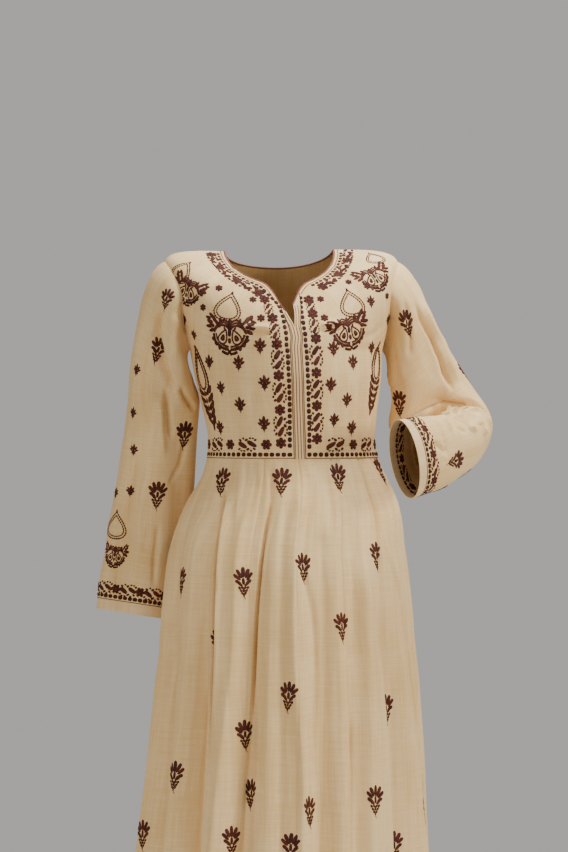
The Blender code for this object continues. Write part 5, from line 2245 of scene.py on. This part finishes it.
@dataclass
class Sleeves(Garment):
    """Both sleeves with their cuff bands and embroidery."""

    def hidden(self, work: Embroidery, sheet: Sheet, form: SleeveForm) -> None:
        """Sprigs on the sleeve's sides that the camera doesn't see.

        Args:
            work: Embroidery of the sleeve.
            sheet: Sleeve cloth.
            form: Its form.
        """
        for tier, row in enumerate((34, 58, 80, 102, 122)):
            for degrees in (205 + 20 * (tier % 2), 275 + 20 * (tier % 2)):
                spot = (row, degrees / 360 * form.columns)
                work.stamp(skirt_sprig(), spot, -sheet.read(sheet.along, np.array(spot, float)), scale=0.82)

    def border(self, work: Embroidery, sheet: Sheet, form: SleeveForm, inside: bool = False) -> list:
        """Cuff border: a brown line, a row of dots and a vine, all round.

        Args:
            work: Embroidery of the sleeve.
            sheet: Sleeve cloth.
            form: Its form.
            inside: Whether the cloth is seen from its inner face.

        Returns:
            Paths of the corded lines.
        """
        row = form.cap_rows + form.arm_rows
        run = np.arange(form.columns + 1, dtype=float)
        seam = Path(sheet, np.stack([np.full(run.size, float(row)), run], axis=1))
        flip = -float(form.side) * (-1.0 if inside else 1.0)
        line, dots, vine = seam.moved(-0.0016 * flip), seam.moved(-0.0072 * flip), seam.moved(-0.0205 * flip)
        work.follow([border_dot()], dots, dots.length[-1] / round(dots.length[-1] / 0.0088), 0.0, stop=0.004)
        count = round(vine.length[-1] / 0.046)
        pitch = vine.length[-1] / count
        work.follow([rosette(5.4)], vine, pitch, 0.0, stop=0.01)
        work.follow([Motif().add(vine_leaves(28), scale=0.92)], vine, pitch, pitch / 2)
        return [line]

    def build(self) -> None:
        """Make both sleeves."""
        for word, form, lines, sprigs in (
            ("right", RIGHT_SLEEVE, RIGHT_SLEEVE_LINES, RIGHT_SLEEVE_SPRIGS),
            ("left", LEFT_SLEEVE, LEFT_SLEEVE_LINES, LEFT_SLEEVE_SPRIGS),
        ):
            sheet = form.sheet(BodiceForm(), SkirtForm())
            sheet.press(
                [(w, 1.5 * h) for w, h, _ in lines],
                [[sheet.at_pixel(p) for p in line[2]] for line in lines]
            )
            cut = form.cap_rows + form.arm_rows
            work = Embroidery(sheet)
            for x, y, size in sprigs:
                spot = sheet.at_pixel((x, y))
                motif = skirt_sprig() if size > 0.7 else small_sprig()
                work.stamp(
                    motif, spot, -sheet.read(sheet.along, spot), scale=size if size > 0.7 else size * 1.25
                )
            self.hidden(work, sheet, form)
            cords = self.border(work, sheet, form)
            if word == "right":
                self.cuff_spray(work, sheet)
            lining = Sheet(sheet.points - sheet.normals * self.cloth, wrap=True, facing=-float(form.side))
            reverse = Embroidery(lining)
            self.border(reverse, lining, form, inside=True)
            reverse.rows = [(*row[:7], row[7] * 0.5) for row in reverse.rows]
            turned = reverse.build(f"sleeve_{word}_thread_reverse", self.finishes.thread, "sleeve")
            sewn = work.build(f"sleeve_{word}_embroidery", self.finishes.thread, "sleeve")
            cord = ribbons(f"sleeve_{word}_cord", cords, 0.0014, 0.0006, self.finishes.cord)
            upper, band = sheet.part(
                slice(0, cut + 1), slice(None)
            ), sheet.part(slice(cut, None), slice(None))
            self.cloth_piece(
                f"sleeve_{word}_cloth", upper, f"sleeve_{word}", "sleeve", "draped",
                (f"bodice_front_{word}", "bodice_back"), (sewn, cord, turned)
            )
            self.cloth_piece(
                f"cuff_{word}_cloth", band, f"cuff_band_{word}", "cuff_band", "draped", (f"sleeve_{word}",)
            )

    def cuff_spray(self, work: Embroidery, sheet: Sheet) -> None:
        """Slim drop over a leafy spray above the right cuff.

        Args:
            work: Embroidery of the sleeve.
            sheet: Sleeve cloth.
        """
        drop = sheet.at_pixel((115.5, 525))
        leafy = sheet.at_pixel((114.5, 556))
        work.stamp(medallion(), drop, -sheet.read(sheet.along, drop), scale=0.92)
        work.stamp(bolder(bouquet(), 1.35, 1.18), leafy, -sheet.read(sheet.along, leafy), scale=0.62)


@dataclass(frozen=True)
class Lamp:
    """A soft square lamp aimed at the gown."""

    name: str
    place: tuple
    aim: tuple
    size: float
    power: float
    colour: tuple

    def make(self) -> None:
        """Put the lamp in the scene."""
        data = bpy.data.lights.new(self.name, "AREA")
        data.size = self.size
        data.energy = self.power
        data.color = self.colour
        lamp = bpy.data.objects.new(self.name, data)
        lamp.location = Vector(self.place)
        lamp.rotation_euler = (Vector(self.aim) - Vector(self.place)).to_track_quat("-Z", "Y").to_euler()
        bpy.context.scene.collection.objects.link(lamp)


@dataclass(frozen=True)
class Studio:
    """Pale floor, grey surroundings and soft lamps."""

    floor_height: float = -1.3260
    floor_radius: float = 1.30
    surround: tuple = (0.440, 0.430, 0.418, 1.0)

    def build(self) -> None:
        """Make floor, surroundings and lamps."""
        angle = np.linspace(0.0, TAU, 96, endpoint=False)
        rim = np.stack(
            [
                np.cos(angle) * self.floor_radius, np.sin(angle) * self.floor_radius,
                np.full(96, self.floor_height)
            ],
            axis=1
        )
        points = np.concatenate([[[0.0, 0.0, self.floor_height]], rim])
        faces = np.stack([np.zeros(96, int), np.arange(96) + 1, (np.arange(96) + 1) % 96 + 1], axis=1)
        mesh = make_mesh("floor", points, faces)
        graph = Graph("pale_floor")
        place = graph.add("TexCoord").outputs["Object"]
        grain = graph.add("TexNoise", {"Vector": place, "Scale": 5.0, "Detail": 3.0})
        graph.feed(
            graph.shader.inputs["Base Color"],
            graph.mix(grain.outputs[0], (0.60, 0.59, 0.57, 1.0), (0.66, 0.65, 0.63, 1.0))
        )
        graph.shader.inputs["Roughness"].default_value = 0.7
        mesh.materials.append(graph.material)
        floor = bpy.data.objects.new("floor", mesh)
        bpy.context.scene.collection.objects.link(floor)
        world = bpy.data.worlds.new("surround")
        world.use_nodes = True
        world.node_tree.nodes["Background"].inputs[0].default_value = self.surround
        world.node_tree.nodes["Background"].inputs[1].default_value = 1.0
        bpy.context.scene.world = world
        Lamp("key", (2.6, -1.7, 0.30), (0.0, 0.0, -0.55), 0.9, 70.0, (1.0, 0.955, 0.88)).make()
        Lamp("top", (0.34, -0.26, 1.30), (0.02, 0.0, -0.05), 0.40, 44.0, (0.92, 0.96, 1.0)).make()
        Lamp("fill", (-2.2, -2.5, -0.3), (0.0, 0.0, -0.7), 1.6, 33.0, (1.0, 0.92, 0.80)).make()
        Lamp("rim", (0.6, 2.4, 1.6), (0.0, 0.0, -0.4), 1.4, 20.0, (0.97, 0.98, 1.0)).make()


def main() -> None:
    """Dress the whole gown and light it."""
    logging.basicConfig(level=logging.INFO, format="%(name)s %(message)s")
    VIEW.place()
    finishes = Finishes()
    for part in (Skirt(finishes), Bodice(finishes), Sleeves(finishes)):
        part.build()
        LOG.info("%s is dressed", type(part).__name__)
    Studio().build()
    LOG.info("sizes written")


if __name__ == "__main__":
    main()
